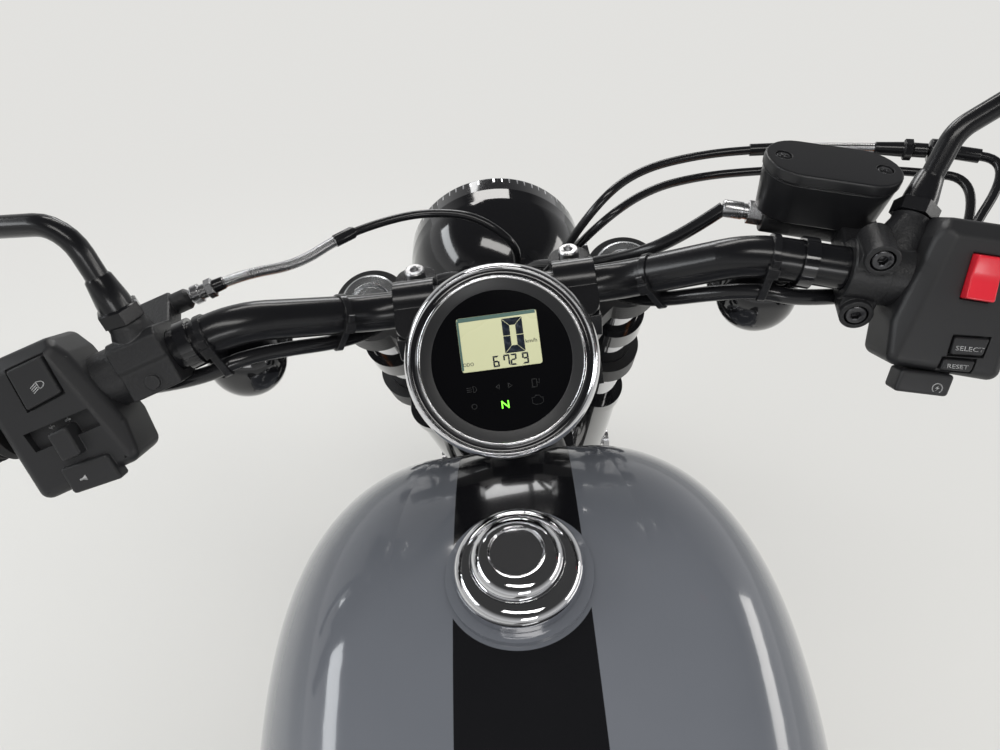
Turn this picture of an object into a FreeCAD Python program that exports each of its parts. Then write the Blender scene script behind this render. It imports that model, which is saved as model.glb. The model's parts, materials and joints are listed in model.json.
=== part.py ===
import FreeCAD, Part
import math
import os
from FreeCAD import Matrix, Placement, Rotation, Vector

# Cruiser motorcycle, modelled upright with the rear axle over x = 0, the ground at
# z = 0, x forward, y to the left, and then leaned onto its side stand. Millimetres, degrees.

wheelbase = 1570.0
trail = 130.0
rake = 29.0
lean_angle = 11.0            # towards the side stand, on the left
steer_angle = 2.0            # bars turned a little to the left as it parks
steer_range = 36.0           # each way from straight ahead
fit = 0.3                    # gap between pieces that seat on each other
running_gap = 6.0            # least room round a piece that turns

# Tyres and rims
front_tyre_radius = 331.0
front_tyre_width = 100.0
front_crown = 50.0           # radius of the tread across the tyre
front_rim_radius = 241.0
front_rim_width = 62.0
rear_tyre_radius = 323.0
rear_tyre_width = 150.0
rear_crown = 85.0
rear_rim_radius = 203.0
rear_rim_width = 100.0
rim_lip = 9.0                # height of a rim's edge over the tyre's seat
rim_wall = 7.0
axle_radius = 10.0
spoke_count = 10
front_disc_radius = 149.0
rear_disc_radius = 130.0
disc_wall = 5.0
carrier_depth = 8.0          # how far a disc is dished towards the hub
hub_overhang = 4.0           # hub beyond the middle of a disc
front_disc_side = 62.0       # y of the disc's middle
caliper_angle = 133.0        # from the fork's forward direction
rear_disc_side = -92.0
front_hub_half = 50.0
hub_radius = 32.0

# Fork and steering head, in fork coordinates p forward, y left, s up along the stem
fork_half = 102.5
fork_tube_radius = 20.5
slider_radius = 26.0
slider_length = 330.0
slider_foot = 34.0           # slider below the axle
stem_radius = 15.0
head_outer = 28.0
lower_clamp_low = 800.0
lower_clamp_wall = 36.0
head_low = 838.3
head_high = 984.7
upper_clamp_wall = 25.0
fork_boss_radius = 31.0
cap_radius = 24.0
cap_height = 8.0

# Handlebar, in the upright motorcycle's own coordinates
bar_radius = 12.7
bar_bend = 55.0
bar_middle = Vector(1171.3, 84.0, 960.0)
bar_rise = Vector(1132.7, 157.1, 996.5)
bar_end = Vector(1065.9, 415.0, 949.6)
grip_radius = 17.5
grip_start = 300.0
riser_side = 53.4            # y of each riser's middle
riser_width = 27.5
riser_bolt_reach = 22.5

# Gauge and headlamp
gauge_centre = Vector(1100.1, 0.0, 966.9)
gauge_tilt = 45.0            # face normal above horizontal, towards the rider
gauge_radius = 58.0
gauge_depth = 30.0
bezel_wall = 8.5
lamp_centre = Vector(1390.0, 0.0, 821.0)
lamp_radius = 88.0

# Tank and its cap
cap_centre_x = 1016.9
cap_skirt_radius = 40.0
tunnel_half = 31.0
backbone_radius = 24.0

# Frame
tube_radius = 16.0
cradle_half = 95.0
cradle_height = 190.0
pivot_x = 545.0
upright_half = 64.0          # y of the tubes beside the swingarm's pivot
pivot_z = 340.0
rail_radius = 12.0
rail_height = 625.0
seat_base = rail_height + rail_radius + fit

# Engine
crank_x = 850.0
crank_z = 318.0
cylinder_angle = 30.0        # each cylinder from the vertical
case_half = 75.0
barrel_start = 92.0
barrel_top = 212.0
head_top = 285.0
cover_top = 336.0
barrel_radius = 50.0
fin_half = 66.0
fin_wall = 3.0
fin_pitch = 9.6

# Rear end
fender_radius = 375.0
fender_half = 90.0
sheet_wall = 3.0
arm_inner = 118.0
arm_wall = 24.0
belt_side = 100.0            # y of the belt's middle
belt_width = 22.0
belt_wall = 7.0
rear_pulley_radius = 108.0
front_pulley_radius = 40.0
front_pulley_x = 640.0
front_pulley_z = 335.0
shock_side = 156.0
spring_radius = 26.0
wire_radius = 5.0
header_radius = 19.0
muffler_radius = 45.0
muffler_side = -186.0

# Front fender
front_fender_radius = 347.0
front_fender_half = 62.0

# Side stand
stand_pivot = Vector(742.0, 128.0, 214.0)
stand_reach = Vector(842.0, 262.0, 0.0)      # the foot; its height follows from the lean
stand_radius = 11.0
stand_eye_half = 13.5
foot_height = 13.0           # of the leg's end above the floor
foot_ball = 12.5
foot_radius = 30.0

pieces = []


def add(body, node, shape):
    pieces.append((body, node, shape))


def unit(vector):
    return vector * (1.0 / vector.Length)


def mirrored(shape):
    return shape.mirror(Vector(0, 0, 0), Vector(0, 1, 0))


def both(shape):
    return Part.makeCompound([shape, mirrored(shape)])


def fused(shapes):
    return shapes[0].multiFuse(shapes[1:]).removeSplitter()


def cylinder(start, end, radius):
    return Part.makeCylinder(radius, (end - start).Length, start, end - start)


def tube(start, end, radius, bore):
    return cylinder(start, end, radius).cut(cylinder(start, end, bore))


def cross_bar(x, z, y0, y1, radius):
    return cylinder(Vector(x, y0, z), Vector(x, y1, z), radius)


def block(x0, x1, y0, y1, z0, z1):
    return Part.makeBox(x1 - x0, y1 - y0, z1 - z0, Vector(x0, y0, z0))


# A closed outline from steps of two coordinates. A step that is a pair of points is an
# arc through the first of them to the second.
def outline(steps, place):
    edges = []
    at = steps[0]
    for step in steps[1:] + steps[:1]:
        if isinstance(step[0], tuple):
            middle, end = step
            edges.append(Part.Arc(place(at), place(middle), place(end)).toShape())
        else:
            end = step
            if end != at:
                edges.append(Part.LineSegment(place(at), place(end)).toShape())
        at = end
    return Part.Wire(edges)


# A solid turned about an axis, from an outline of radius and height.
def turned(steps, origin, axis, angle=360.0):
    face = Part.Face(outline(steps, lambda s: Vector(s[0], 0, s[1])))
    solid = face.revolve(Vector(0, 0, 0), Vector(0, 0, 1), angle)
    solid.Placement = Placement(origin, Rotation(Vector(0, 0, 1), axis))
    return solid


# A plate with an outline of x and z, from y0 to y1.
def plate(steps, y0, y1):
    face = Part.Face(outline(steps, lambda s: Vector(s[0], y0, s[1])))
    return face.extrude(Vector(0, y1 - y0, 0))


# A sheet arched about a wheel's centre, from an outline of radius and y. The angles are
# measured upwards from straight ahead.
def arched(steps, centre, start, end):
    face = Part.Face(outline(steps, lambda s: Vector(s[0], s[1], 0)))
    back = Vector(0, -1, 0)
    face.rotate(Vector(0, 0, 0), back, start)
    solid = face.revolve(Vector(0, 0, 0), back, end - start)
    solid.translate(centre)
    return solid


# Straight runs joined by tangent arcs of one radius, or less where a run is short.
def path(points, bend):
    edges = []
    at = points[0]
    for before, corner, after in zip(points, points[1:], points[2:]):
        back = unit(before - corner)
        ahead = unit(after - corner)
        half_turn = (math.pi - back.getAngle(ahead)) / 2
        room = 0.45 * min((before - corner).Length, (after - corner).Length)
        reach = min(bend * math.tan(half_turn), room)
        radius = reach / math.tan(half_turn)
        start = corner + back * reach
        end = corner + ahead * reach
        middle = corner + unit(back + ahead) * (math.hypot(reach, radius) - radius)
        edges.append(Part.LineSegment(at, start).toShape())
        edges.append(Part.Arc(start, middle, end).toShape())
        at = end
    edges.append(Part.LineSegment(at, points[-1]).toShape())
    return Part.Wire(edges)


def rod(points, radius, bend):
    if len(points) == 2:
        return cylinder(points[0], points[1], radius)
    ring = Part.Wire(Part.makeCircle(radius, points[0], points[1] - points[0]))
    return path(points, bend).makePipeShell([ring], True, False)


# A body lofted along x. Each row is x, bottom, height of the widest line, top, half width
# of the bottom, half width at the widest line.
def lofted(rows):
    wires = []
    for x, low, wide, high, floor_half, half in rows:
        rise = high - wide
        drop = wide - low
        spread = half - floor_half
        right = [
            ((floor_half + 0.72 * spread, low + 0.26 * drop), (half, wide)),
            ((0.84 * half, wide + 0.60 * rise), (0.46 * half, wide + 0.92 * rise)),
        ]
        left = [
            ((-0.84 * half, wide + 0.60 * rise), (-half, wide)),
            ((-floor_half - 0.72 * spread, low + 0.26 * drop), (-floor_half, low)),
        ]
        crown = [((0.0, high), (-0.46 * half, wide + 0.92 * rise))]
        steps = [(floor_half, low)] + right + crown + left
        wires.append(outline(steps, lambda s: Vector(x, s[0], s[1])))
    return Part.makeLoft(wires, True, False)


fork_frame = Placement(Vector(wheelbase + trail, 0, 0), Rotation(Vector(0, 1, 0), -rake))
fork_foot = fork_frame.inverse().multVec(Vector(wheelbase, 0, front_tyre_radius))
axle_p = fork_foot.x
axle_s = fork_foot.z
fork_up = fork_frame.Rotation.multVec(Vector(0, 0, 1))


# A shape drawn in fork coordinates, moved to the upright motorcycle.
def from_fork(shape):
    moved = shape.copy()
    moved.Placement = fork_frame.multiply(moved.Placement)
    return moved


def fork_point(p, y, s):
    return fork_frame.multVec(Vector(p, y, s))


# Wheels, drawn about the origin with the axle along y

def tyre(radius, width, crown, rim_radius, rim_width):
    core = radius - crown
    flank = math.asin(min(1.0, width / 2 / crown)) * 0.98
    shoulder = (core + crown * math.cos(flank), crown * math.sin(flank))
    bead = rim_width / 2 - rim_wall
    seat = rim_radius - rim_lip + fit
    lip_top = rim_radius + 2.0
    bulge = ((shoulder[0] + lip_top) / 2, shoulder[1] * 0.5 + bead * 0.5 + 7.0)
    return arched_full([
        (seat, -bead),
        (lip_top, -bead),
        ((bulge[0], -bulge[1]), (shoulder[0], -shoulder[1])),
        ((radius, 0.0), shoulder),
        (bulge, (lip_top, bead)),
        (seat, bead),
    ])


def arched_full(steps):
    face = Part.Face(outline(steps, lambda s: Vector(s[0], s[1], 0)))
    return face.revolve(Vector(0, 0, 0), Vector(0, 1, 0), 360)


def cast_wheel(rim_radius, rim_width, hub_ends, seats, spoke_half):
    lip = rim_width / 2
    seat = rim_radius - rim_lip
    well = seat - 16.0
    rim = arched_full([
        (rim_radius, -lip),
        (rim_radius, -lip + rim_wall - fit),
        (seat, -lip + rim_wall - fit),
        (well, -lip * 0.35),
        (well, lip * 0.35),
        (seat, lip - rim_wall + fit),
        (rim_radius, lip - rim_wall + fit),
        (rim_radius, lip),
        (seat - rim_wall, lip),
        (well - rim_wall, lip * 0.4),
        (well - rim_wall, -lip * 0.4),
        (seat - rim_wall, -lip),
    ])
    low, high = hub_ends
    low_seat, high_seat = seats
    hub = arched_full([
        (axle_radius + fit, low),
        (hub_radius, low),
        (hub_radius, low_seat),
        (hub_radius + 7.0, low_seat),
        (hub_radius + 12.0, -spoke_half - 2.0),
        (hub_radius + 12.0, spoke_half + 2.0),
        (hub_radius + 7.0, high_seat),
        (hub_radius, high_seat),
        (hub_radius, high),
        (axle_radius + fit, high),
    ])
    spokes = []
    for index in range(spoke_count):
        reach = well - rim_wall + 1.0
        spoke = Part.makeLoft([
            outline([(-13.0, -spoke_half), (13.0, -spoke_half), (13.0, spoke_half), (-13.0, spoke_half)],
                    lambda s: Vector(s[0], s[1], hub_radius + 2.0)),
            outline([(-8.0, -spoke_half * 0.6), (8.0, -spoke_half * 0.6), (8.0, spoke_half * 0.6),
                     (-8.0, spoke_half * 0.6)],
                    lambda s: Vector(s[0], s[1], reach)),
        ], True, True)
        spoke.rotate(Vector(0, 0, 0), Vector(0, 1, 0), 360.0 * index / spoke_count)
        spokes.append(spoke)
    return fused([rim, hub] + spokes)


# Where a disc's carrier sits against the hub's shoulder
def disc_seat(middle):
    return middle - math.copysign(disc_wall / 2 + carrier_depth + fit, middle)


def brake_disc(radius, middle):
    low = middle - disc_wall / 2
    high = middle + disc_wall / 2
    side = math.copysign(1.0, middle)
    rotor = arched_full([(radius - 38.0, low), (radius, low), (radius, high), (radius - 38.0, high)])
    inner = middle - side * disc_wall / 2
    carrier = arched_full([
        (hub_radius + fit, inner - side * carrier_depth),
        (hub_radius + 12.0, inner - side * carrier_depth),
        (radius - 34.0, inner - side * 2.0),
        (radius - 34.0, inner + side * 1.0),
        (hub_radius + fit, inner + side * 1.0),
    ])
    windows = []
    for index in range(5):
        hole = cross_bar((hub_radius + radius - 26.0) / 2, 0, inner - side * 20.0, inner + side * 20.0, 17.0)
        hole.rotate(Vector(0, 0, 0), Vector(0, 1, 0), 72.0 * index)
        windows.append(hole)
    return fused([rotor, carrier]).cut(Part.makeCompound(windows))


front_hub = fork_point(axle_p, 0, axle_s)
rear_hub = Vector(0, 0, rear_tyre_radius)
pulley_low = belt_side - belt_width / 2 - 1.0
pulley_high = belt_side + belt_width / 2 + 1.0


def placed(shape, at):
    moved = shape.copy()
    moved.translate(at)
    return moved


add("front_wheel", "front_tyre", placed(
    tyre(front_tyre_radius, front_tyre_width, front_crown, front_rim_radius, front_rim_width), front_hub))
add("front_wheel", "front_wheel", placed(
    cast_wheel(front_rim_radius, front_rim_width, (-front_hub_half, front_disc_side + hub_overhang),
               (-front_hub_half + 8.0, disc_seat(front_disc_side)), 16.0), front_hub))
add("front_wheel", "front_disc", placed(
    brake_disc(front_disc_radius, front_disc_side), front_hub))
add("rear_wheel", "rear_tyre", placed(
    tyre(rear_tyre_radius, rear_tyre_width, rear_crown, rear_rim_radius, rear_rim_width), rear_hub))
add("rear_wheel", "rear_wheel", placed(
    cast_wheel(rear_rim_radius, rear_rim_width, (rear_disc_side - hub_overhang, pulley_high),
               (disc_seat(rear_disc_side), pulley_low + 4.0 - fit), 20.0), rear_hub))
add("rear_wheel", "rear_disc", placed(
    brake_disc(rear_disc_radius, rear_disc_side), rear_hub))


# Rear pulley, dished between its rim and the hub
def rear_pulley():
    low = pulley_low
    high = pulley_high
    rim = rear_pulley_radius - fit
    return arched_full([
        (hub_radius + fit, low + 4.0),
        (rim - 20.0, low + 4.0),
        (rim - 10.0, low),
        (rim, low),
        (rim, high),
        (rim - 10.0, high),
        (rim - 16.0, high - 12.0),
        (hub_radius + fit, high - 12.0),
    ])


add("rear_wheel", "rear_pulley", placed(rear_pulley(), rear_hub))


# Fork, in fork coordinates
def fork_leg_pair(shape):
    return from_fork(both(shape))


upper_low = head_high + fit
upper_high = upper_low + upper_clamp_wall
lower_high = lower_clamp_low + lower_clamp_wall

tube_foot = axle_s + 60.0
add("steering", "fork_tubes", fork_leg_pair(
    cylinder(Vector(axle_p, fork_half, tube_foot), Vector(axle_p, fork_half, upper_high), fork_tube_radius)))


def slider():
    foot = axle_s - slider_foot
    leg = cylinder(Vector(axle_p, fork_half, foot), Vector(axle_p, fork_half, axle_s + slider_length),
                   slider_radius)
    collar = cylinder(Vector(axle_p, fork_half, axle_s + slider_length - 26.0),
                      Vector(axle_p, fork_half, axle_s + slider_length), slider_radius + 3.0)
    bore = cylinder(Vector(axle_p, fork_half, tube_foot - fit),
                    Vector(axle_p, fork_half, axle_s + slider_length), fork_tube_radius + fit)
    hole = cylinder(Vector(axle_p, 0, axle_s), Vector(axle_p, fork_half * 2, axle_s), axle_radius + fit)
    return leg.fuse(collar).cut(bore).cut(hole)


add("steering", "fork_sliders", fork_leg_pair(slider()))

fork_cap = turned([
    (0.0, 0.0), (cap_radius, 0.0), (cap_radius, cap_height - 2.0), (cap_radius - 2.0, cap_height),
    (cap_radius - 8.0, cap_height), (cap_radius - 10.0, cap_height - 3.0), (11.0, cap_height - 3.0),
    (11.0, cap_height + 3.0), (0.0, cap_height + 3.0),
], Vector(axle_p, fork_half, upper_high + fit), Vector(0, 0, 1))
add("steering", "fork_caps", fork_leg_pair(fork_cap))


def front_axle():
    spindle = cylinder(Vector(axle_p, -fork_half - 34.0, axle_s), Vector(axle_p, fork_half + 34.0, axle_s),
                       axle_radius)
    parts = [spindle]
    inner = fork_half - slider_radius - fit
    for side, start in ((1, front_disc_side + hub_overhang + fit), (-1, front_hub_half + fit)):
        parts.append(cylinder(Vector(axle_p, side * start, axle_s), Vector(axle_p, side * inner, axle_s), 15.0))
        outer = fork_half + slider_radius + fit
        parts.append(cylinder(Vector(axle_p, side * outer, axle_s),
                              Vector(axle_p, side * (outer + 9.0), axle_s), 16.0))
    return from_fork(fused(parts))


add("steering", "front_axle", front_axle())


def clamp(low, high, web_front, web_back, bore):
    parts = []
    for side in (1, -1):
        parts.append(cylinder(Vector(axle_p, side * fork_half, low), Vector(axle_p, side * fork_half, high),
                              fork_boss_radius))
    parts.append(cylinder(Vector(0, 0, low), Vector(0, 0, high), head_outer + 8.0))
    web = Part.Face(Part.makePolygon([
        Vector(web_back, -24.0, low), Vector(axle_p - 18.0, -fork_half, low),
        Vector(axle_p + web_front, -fork_half + 14.0, low), Vector(web_front, -30.0, low),
        Vector(web_front, 30.0, low), Vector(axle_p + web_front, fork_half - 14.0, low),
        Vector(axle_p - 18.0, fork_half, low), Vector(web_back, 24.0, low),
        Vector(web_back, -24.0, low),
    ])).extrude(Vector(0, 0, high - low))
    solid = fused(parts + [web])
    for side in (1, -1):
        solid = solid.cut(cylinder(Vector(axle_p, side * fork_half, low - 1.0),
                                   Vector(axle_p, side * fork_half, high + 1.0), fork_tube_radius + bore))
    return solid


stem = cylinder(Vector(0, 0, lower_clamp_low), Vector(0, 0, upper_low - fit), stem_radius)
lower_clamp = clamp(lower_clamp_low, lower_high, 8.0, -26.0, fit)
add("steering", "lower_clamp", from_fork(fused([lower_clamp, stem])))

upper_clamp = clamp(upper_low, upper_high, 24.0, -34.0, fit)
stem_nut = turned([(0.0, 0.0), (18.0, 0.0), (18.0, 9.0), (15.0, 11.0), (0.0, 11.0)],
                  Vector(0, 0, upper_high), Vector(0, 0, 1))
add("steering", "upper_clamp", from_fork(fused([upper_clamp, stem_nut])))


# Handlebar and what it carries
def flipped(point):
    return Vector(point.x, -point.y, point.z)


bar_points = [flipped(bar_end), flipped(bar_rise), flipped(bar_middle), bar_middle, bar_rise, bar_end]
add("steering", "handlebar", rod(bar_points, bar_radius, bar_bend))

bar_out = unit(bar_end - bar_rise)


# The point of the left bar's middle line at a given y.
def bar_at(y):
    share = (y - bar_rise.y) / (bar_end.y - bar_rise.y)
    return bar_rise + (bar_end - bar_rise) * share


# Control coordinates on the left bar: x out along the bar, y towards the rider, z up the
# switch housing's face.
face_up = unit(Vector(0.53, 0, 0.85) - bar_out * Vector(0.53, 0, 0.85).dot(bar_out))
face_out = unit(face_up.cross(bar_out))


def control_frame(y):
    at = bar_at(y)
    return Placement(Matrix(
        bar_out.x, face_out.x, face_up.x, at.x,
        bar_out.y, face_out.y, face_up.y, at.y,
        bar_out.z, face_out.z, face_up.z, at.z,
        0, 0, 0, 1))


def on_bar(shape, y):
    moved = shape.copy()
    moved.Placement = control_frame(y).multiply(moved.Placement)
    return moved


bar_bore = cylinder(Vector(-60, 0, 0), Vector(200, 0, 0), bar_radius + fit)
housing_start = 251.0
housing_long = 46.0
housing_inset = 24.0         # how far its lower half reaches in under the perch


# Switch housing: its lower half runs in under the lever's perch
def housing():
    case = block(0, housing_long, -19.0, 26.0, -49.0, 37.0)
    case = case.makeFillet(9.0, case.Edges)
    foot = block(-housing_inset, 22.0, -18.0, 25.0, -49.0, -22.0)
    foot = foot.makeFillet(7.0, foot.Edges)
    return fused([case, foot]).cut(bar_bore)


add("steering", "left_switches", on_bar(housing(), housing_start))
add("steering", "right_switches", mirrored(on_bar(housing(), housing_start)))


def grip():
    steps = [
        (bar_radius + fit, 0.0), (grip_radius + 3.5, 0.0), (grip_radius + 3.5, 5.0), (grip_radius, 9.0),
        (grip_radius, 108.0), (grip_radius - 2.0, 112.0), (bar_radius + fit, 112.0),
    ]
    return turned(steps, bar_at(grip_start), bar_out)


def bar_end_weight():
    return turned([(0.0, 0.0), (14.0, 0.0), (15.0, 3.0), (15.0, 16.0), (12.0, 20.0), (0.0, 20.0)],
                  bar_end + bar_out * fit, bar_out)


add("steering", "grips", both(Part.makeCompound([grip(), bar_end_weight()])))

perch_y = 220.0
perch_long = 26.0
perch_radius = 19.0


# Ring round the bar with an arm forward to the lever's pivot
def perch():
    ring = cylinder(Vector(0, 0, 0), Vector(perch_long, 0, 0), perch_radius)
    arm = block(0, perch_long, -50.0, 0, -9.0, 9.0)
    arm = arm.makeFillet(3.0, [edge for edge in arm.Edges if abs(edge.Length - 18.0) < 0.1])
    slot = block(5.0, perch_long + 9.0, -60.0, -29.0, -4.0 - fit, 4.0 + fit)
    return fused([ring, arm]).cut(bar_bore).cut(slot)


# Lever blade, bowed away from the grip, with a ball at its tip
def lever():
    steps = [
        (5.0 + fit, -29.0 - fit), (24.0, -31.0), (40.0, -42.0),
        ((96.0, -53.0), (160.0, -54.0)),
        ((170.0, -61.0), (160.0, -68.0)),
        ((96.0, -67.0), (34.0, -56.0)),
        (16.0, -48.0), (5.0 + fit, -46.0),
    ]
    face = Part.Face(outline(steps, lambda s: Vector(s[0], s[1], -4.0)))
    blade = face.extrude(Vector(0, 0, 8.0))
    return blade


boss_radius = 10.0


# Threaded boss on the perch that a mirror's stem screws into, from the bar's middle line
def mirror_boss(anchor, top):
    return cylinder(anchor, top, boss_radius)


left_anchor = bar_at(perch_y + 12.0)
left_top = left_anchor + unit(Vector(0.30, -0.10, 0.95)) * 25.0
right_anchor = flipped(bar_at(perch_y + 12.0))
right_top = Vector(1137.0, -252.0, 1004.0)


plain_perch = on_bar(perch(), perch_y)
lever_left = on_bar(lever(), perch_y)
bar_clear = on_bar(bar_bore, perch_y)
left_perch = plain_perch.fuse(mirror_boss(left_anchor, left_top)).cut(bar_clear)
add("steering", "clutch_perch", left_perch)
add("steering", "clutch_lever", lever_left)
add("steering", "brake_lever", mirrored(lever_left))


# Brake master cylinder on its own ring, with the fluid reservoir over it
def master_cylinder():
    body = mirrored(plain_perch).fuse(mirror_boss(right_anchor, right_top)).cut(mirrored(bar_clear))
    barrel = cylinder(Vector(1152.0, -238.0, 981.0), Vector(1190.0, -176.0, 985.0), 13.0)
    neck = block(1150.0, 1176.0, -232.0, -206.0, 974.0, 996.0)
    tank = block(1153.0, 1203.0, -256.0, -178.0, 990.0, 1030.0)
    tank = tank.makeFillet(10.0, [edge for edge in tank.Edges if abs(edge.Length - 40.0) < 0.1])
    cap = block(1151.0, 1205.0, -258.0, -176.0, 1030.0, 1037.0)
    cap = cap.makeFillet(3.0, [edge for edge in cap.Edges])
    return fused([body, barrel, neck, tank, cap])


add("steering", "master_cylinder", master_cylinder())


def mirror(base, way, knee, elbow, head):
    stalk = rod([base, base + way * 26.0, knee, elbow, head], 5.5, 22.0)
    nut = cylinder(base, base + way * 22.0, boss_radius - 1.0)
    facing = unit(Vector(-1.0, 0.0, 0.12))
    shell = turned([(0.0, -9.0), (42.0, -9.0), ((52.0, -4.0), (50.0, 5.0)), (49.0, 8.0), (0.0, 8.0)],
                   head + facing * 4.0, facing)
    return fused([stalk, nut, shell])


left_way = unit(left_top - left_anchor)
right_way = unit(right_top - right_anchor)
left_mirror = mirror(left_top + left_way * fit, left_way, Vector(1150.0, 240.0, 1052.0),
                     Vector(1182.0, 300.0, 1060.0), Vector(1160.0, 386.0, 1094.0))
right_mirror = mirror(right_top + right_way * fit, right_way, Vector(1170.0, -284.0, 1049.0),
                      Vector(1184.0, -322.0, 1064.0), Vector(1160.0, -386.0, 1094.0))
add("steering", "mirrors", Part.makeCompound([left_mirror, right_mirror]))


# Each riser stands on the upper clamp and holds the bar under a cap
def riser():
    y0 = riser_side - riser_width / 2
    y1 = riser_side + riser_width / 2
    foot_front = fork_point(30.0, 0, upper_high + fit)
    foot_back = fork_point(-16.0, 0, upper_high + fit)
    x = bar_middle.x
    z = bar_middle.z
    post = plate([
        (foot_front.x, foot_front.z), (x + 34.0, z - 16.0), (x + 33.0, z - fit), (x - 33.0, z - fit),
        (x - 34.0, z - 16.0), (foot_back.x, foot_back.z),
    ], y0, y1)
    top = plate([
        (x + 33.0, z + fit), (x + 33.0, z + 7.0), (x + 13.0, z + 9.0),
        ((x, z + bar_radius + 7.0), (x - 13.0, z + 9.0)),
        (x - 33.0, z + 7.0), (x - 33.0, z + fit),
    ], y0, y1)
    bolts = []
    for reach in (riser_bolt_reach, -riser_bolt_reach):
        bolts.append(cylinder(Vector(x + reach, riser_side, z - 14.0),
                              Vector(x + reach, riser_side, z + 11.0), 4.0))
        bolts.append(cylinder(Vector(x + reach, riser_side, z + 5.0),
                              Vector(x + reach, riser_side, z + 13.0), 6.5))
    bore = cylinder(Vector(x, y0 - 9.0, z), Vector(x, y1 + 9.0, z), bar_radius + fit)
    return fused([post, top] + bolts).cut(bore)


add("steering", "risers", both(riser()))

# Gauge: its axis points from the bracket at the back to the rider
gauge_axis = Vector(-math.cos(math.radians(gauge_tilt)), 0, math.sin(math.radians(gauge_tilt)))


def gauge_case():
    back = -gauge_depth
    case = turned([
        (0.0, back), (gauge_radius - 24.0, back), ((gauge_radius - 12.0, back + 7.0), (gauge_radius - 4.0, -14.0)),
        (gauge_radius - 4.0, -4.0 - fit), (0.0, -4.0 - fit),
    ], gauge_centre, gauge_axis)
    strap_y = riser_side
    rear_face = bar_middle.x - 34.0 - fit
    strap = plate([
        (rear_face, 940.0), (rear_face, 924.0), (1122.0, 914.0), (1112.0, 924.0), (1128.0, 940.0),
    ], -strap_y - 10.0, strap_y + 10.0)
    return fused([case, strap])


add("steering", "gauge", gauge_case())
add("steering", "gauge_bezel", turned([
    (gauge_radius - bezel_wall, -4.0), (gauge_radius - 4.0 + fit, -4.0), (gauge_radius - 4.0 + fit, -13.0),
    (gauge_radius, -13.0),
    ((gauge_radius + 2.0, -5.0), (gauge_radius - 3.0, 1.5)), (gauge_radius - bezel_wall, 0.0),
], gauge_centre, gauge_axis))
add("steering", "gauge_dial", turned([
    (0.0, -4.0), (gauge_radius - bezel_wall - fit, -4.0), (gauge_radius - bezel_wall - fit, -1.5),
    (0.0, -1.5),
], gauge_centre, gauge_axis))


# Headlamp bowl with an ear back to a ring on each fork tube
def headlamp():
    forward = Vector(1, 0, 0)
    bowl = turned([
        (0.0, -72.0), ((62.0, -46.0), (lamp_radius - 2.0, 0.0)), (lamp_radius, 14.0),
        (lamp_radius, 34.0), (lamp_radius - 6.0, 34.0), (lamp_radius - 6.0, 26.0), (0.0, 26.0),
    ], lamp_centre, forward)
    ring_s = fork_frame.inverse().multVec(Vector(1298.0, 0, lamp_centre.z)).z
    parts = [bowl]
    for side in (1, -1):
        middle = Vector(axle_p, side * fork_half, ring_s)
        ring = cylinder(middle + Vector(0, 0, -14.0), middle + Vector(0, 0, 14.0), fork_tube_radius + 6.0)
        ear = plate([
            (1300.0, lamp_centre.z - 12.0), (lamp_centre.x + 12.0, lamp_centre.z - 11.0),
            ((lamp_centre.x + 23.0, lamp_centre.z), (lamp_centre.x + 12.0, lamp_centre.z + 11.0)),
            (1300.0, lamp_centre.z + 12.0),
        ], side * (lamp_radius - 3.0), side * (lamp_radius + 6.0))
        parts.append(from_fork(ring))
        parts.append(ear)
    lamp = fused(parts)
    for side in (1, -1):
        middle = Vector(axle_p, side * fork_half, ring_s)
        lamp = lamp.cut(from_fork(cylinder(middle + Vector(0, 0, -60.0), middle + Vector(0, 0, 60.0),
                                           fork_tube_radius + fit)))
    return lamp


add("steering", "headlamp", headlamp())
add("steering", "headlamp_lens", turned([
    (0.0, 26.0 + fit), (lamp_radius - 6.0 - fit, 26.0 + fit), (lamp_radius - 6.0 - fit, 34.0),
    ((lamp_radius * 0.55, 44.0), (6.0, 48.0)), (0.0, 48.0),
], lamp_centre, Vector(1, 0, 0)))

signal_y = 172.0
signal_ring_y = 194.0


# Bullet lamp on a short stalk under a ring on the bar
def front_signal():
    hang = bar_at(signal_ring_y)
    lamp_at = Vector(1146.0, signal_y, 951.0)
    bullet = turned([
        (0.0, -30.0), ((18.0, -24.0), (25.0, 0.0)), (26.0, 12.0), (26.0, 20.0), ((17.0, 29.0), (5.0, 32.0)), (0.0, 32.0),
    ], lamp_at, Vector(1, 0, 0))
    ring = cylinder(hang - bar_out * 8.0, hang + bar_out * 8.0, bar_radius + 5.0)
    stalk = cylinder(lamp_at, hang, 7.0)
    bore = cylinder(hang - bar_out * 30.0, hang + bar_out * 30.0, bar_radius + fit)
    return fused([bullet, ring, stalk]).cut(bore)


add("steering", "front_turn_signals", both(front_signal()))


# Front fender with an ear to each slider
def front_fender():
    half = front_fender_half
    outer = front_fender_radius
    inner = outer - sheet_wall
    skirt = outer - 46.0
    steps = [
        (skirt, -half), (outer - 16.0, -half), ((outer, 0.0), (outer - 16.0, half)), (skirt, half),
        (skirt, half - sheet_wall), (inner - 16.0, half - sheet_wall),
        ((inner, 0.0), (inner - 16.0, -half + sheet_wall)), (skirt, -half + sheet_wall),
    ]
    sheet = arched(steps, front_hub, 52.0, 168.0)
    ear = Part.makeBox(36.0, 34.0, 40.0, Vector(axle_p - 18.0, half - sheet_wall + 0.5, axle_s + slider_length - 70.0))
    ear = ear.cut(cylinder(Vector(axle_p, fork_half, 0), Vector(axle_p, fork_half, 900.0),
                           slider_radius + fit))
    ear = from_fork(ear)
    return fused([sheet, ear, mirrored(ear)])


add("steering", "front_fender", front_fender())


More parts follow.
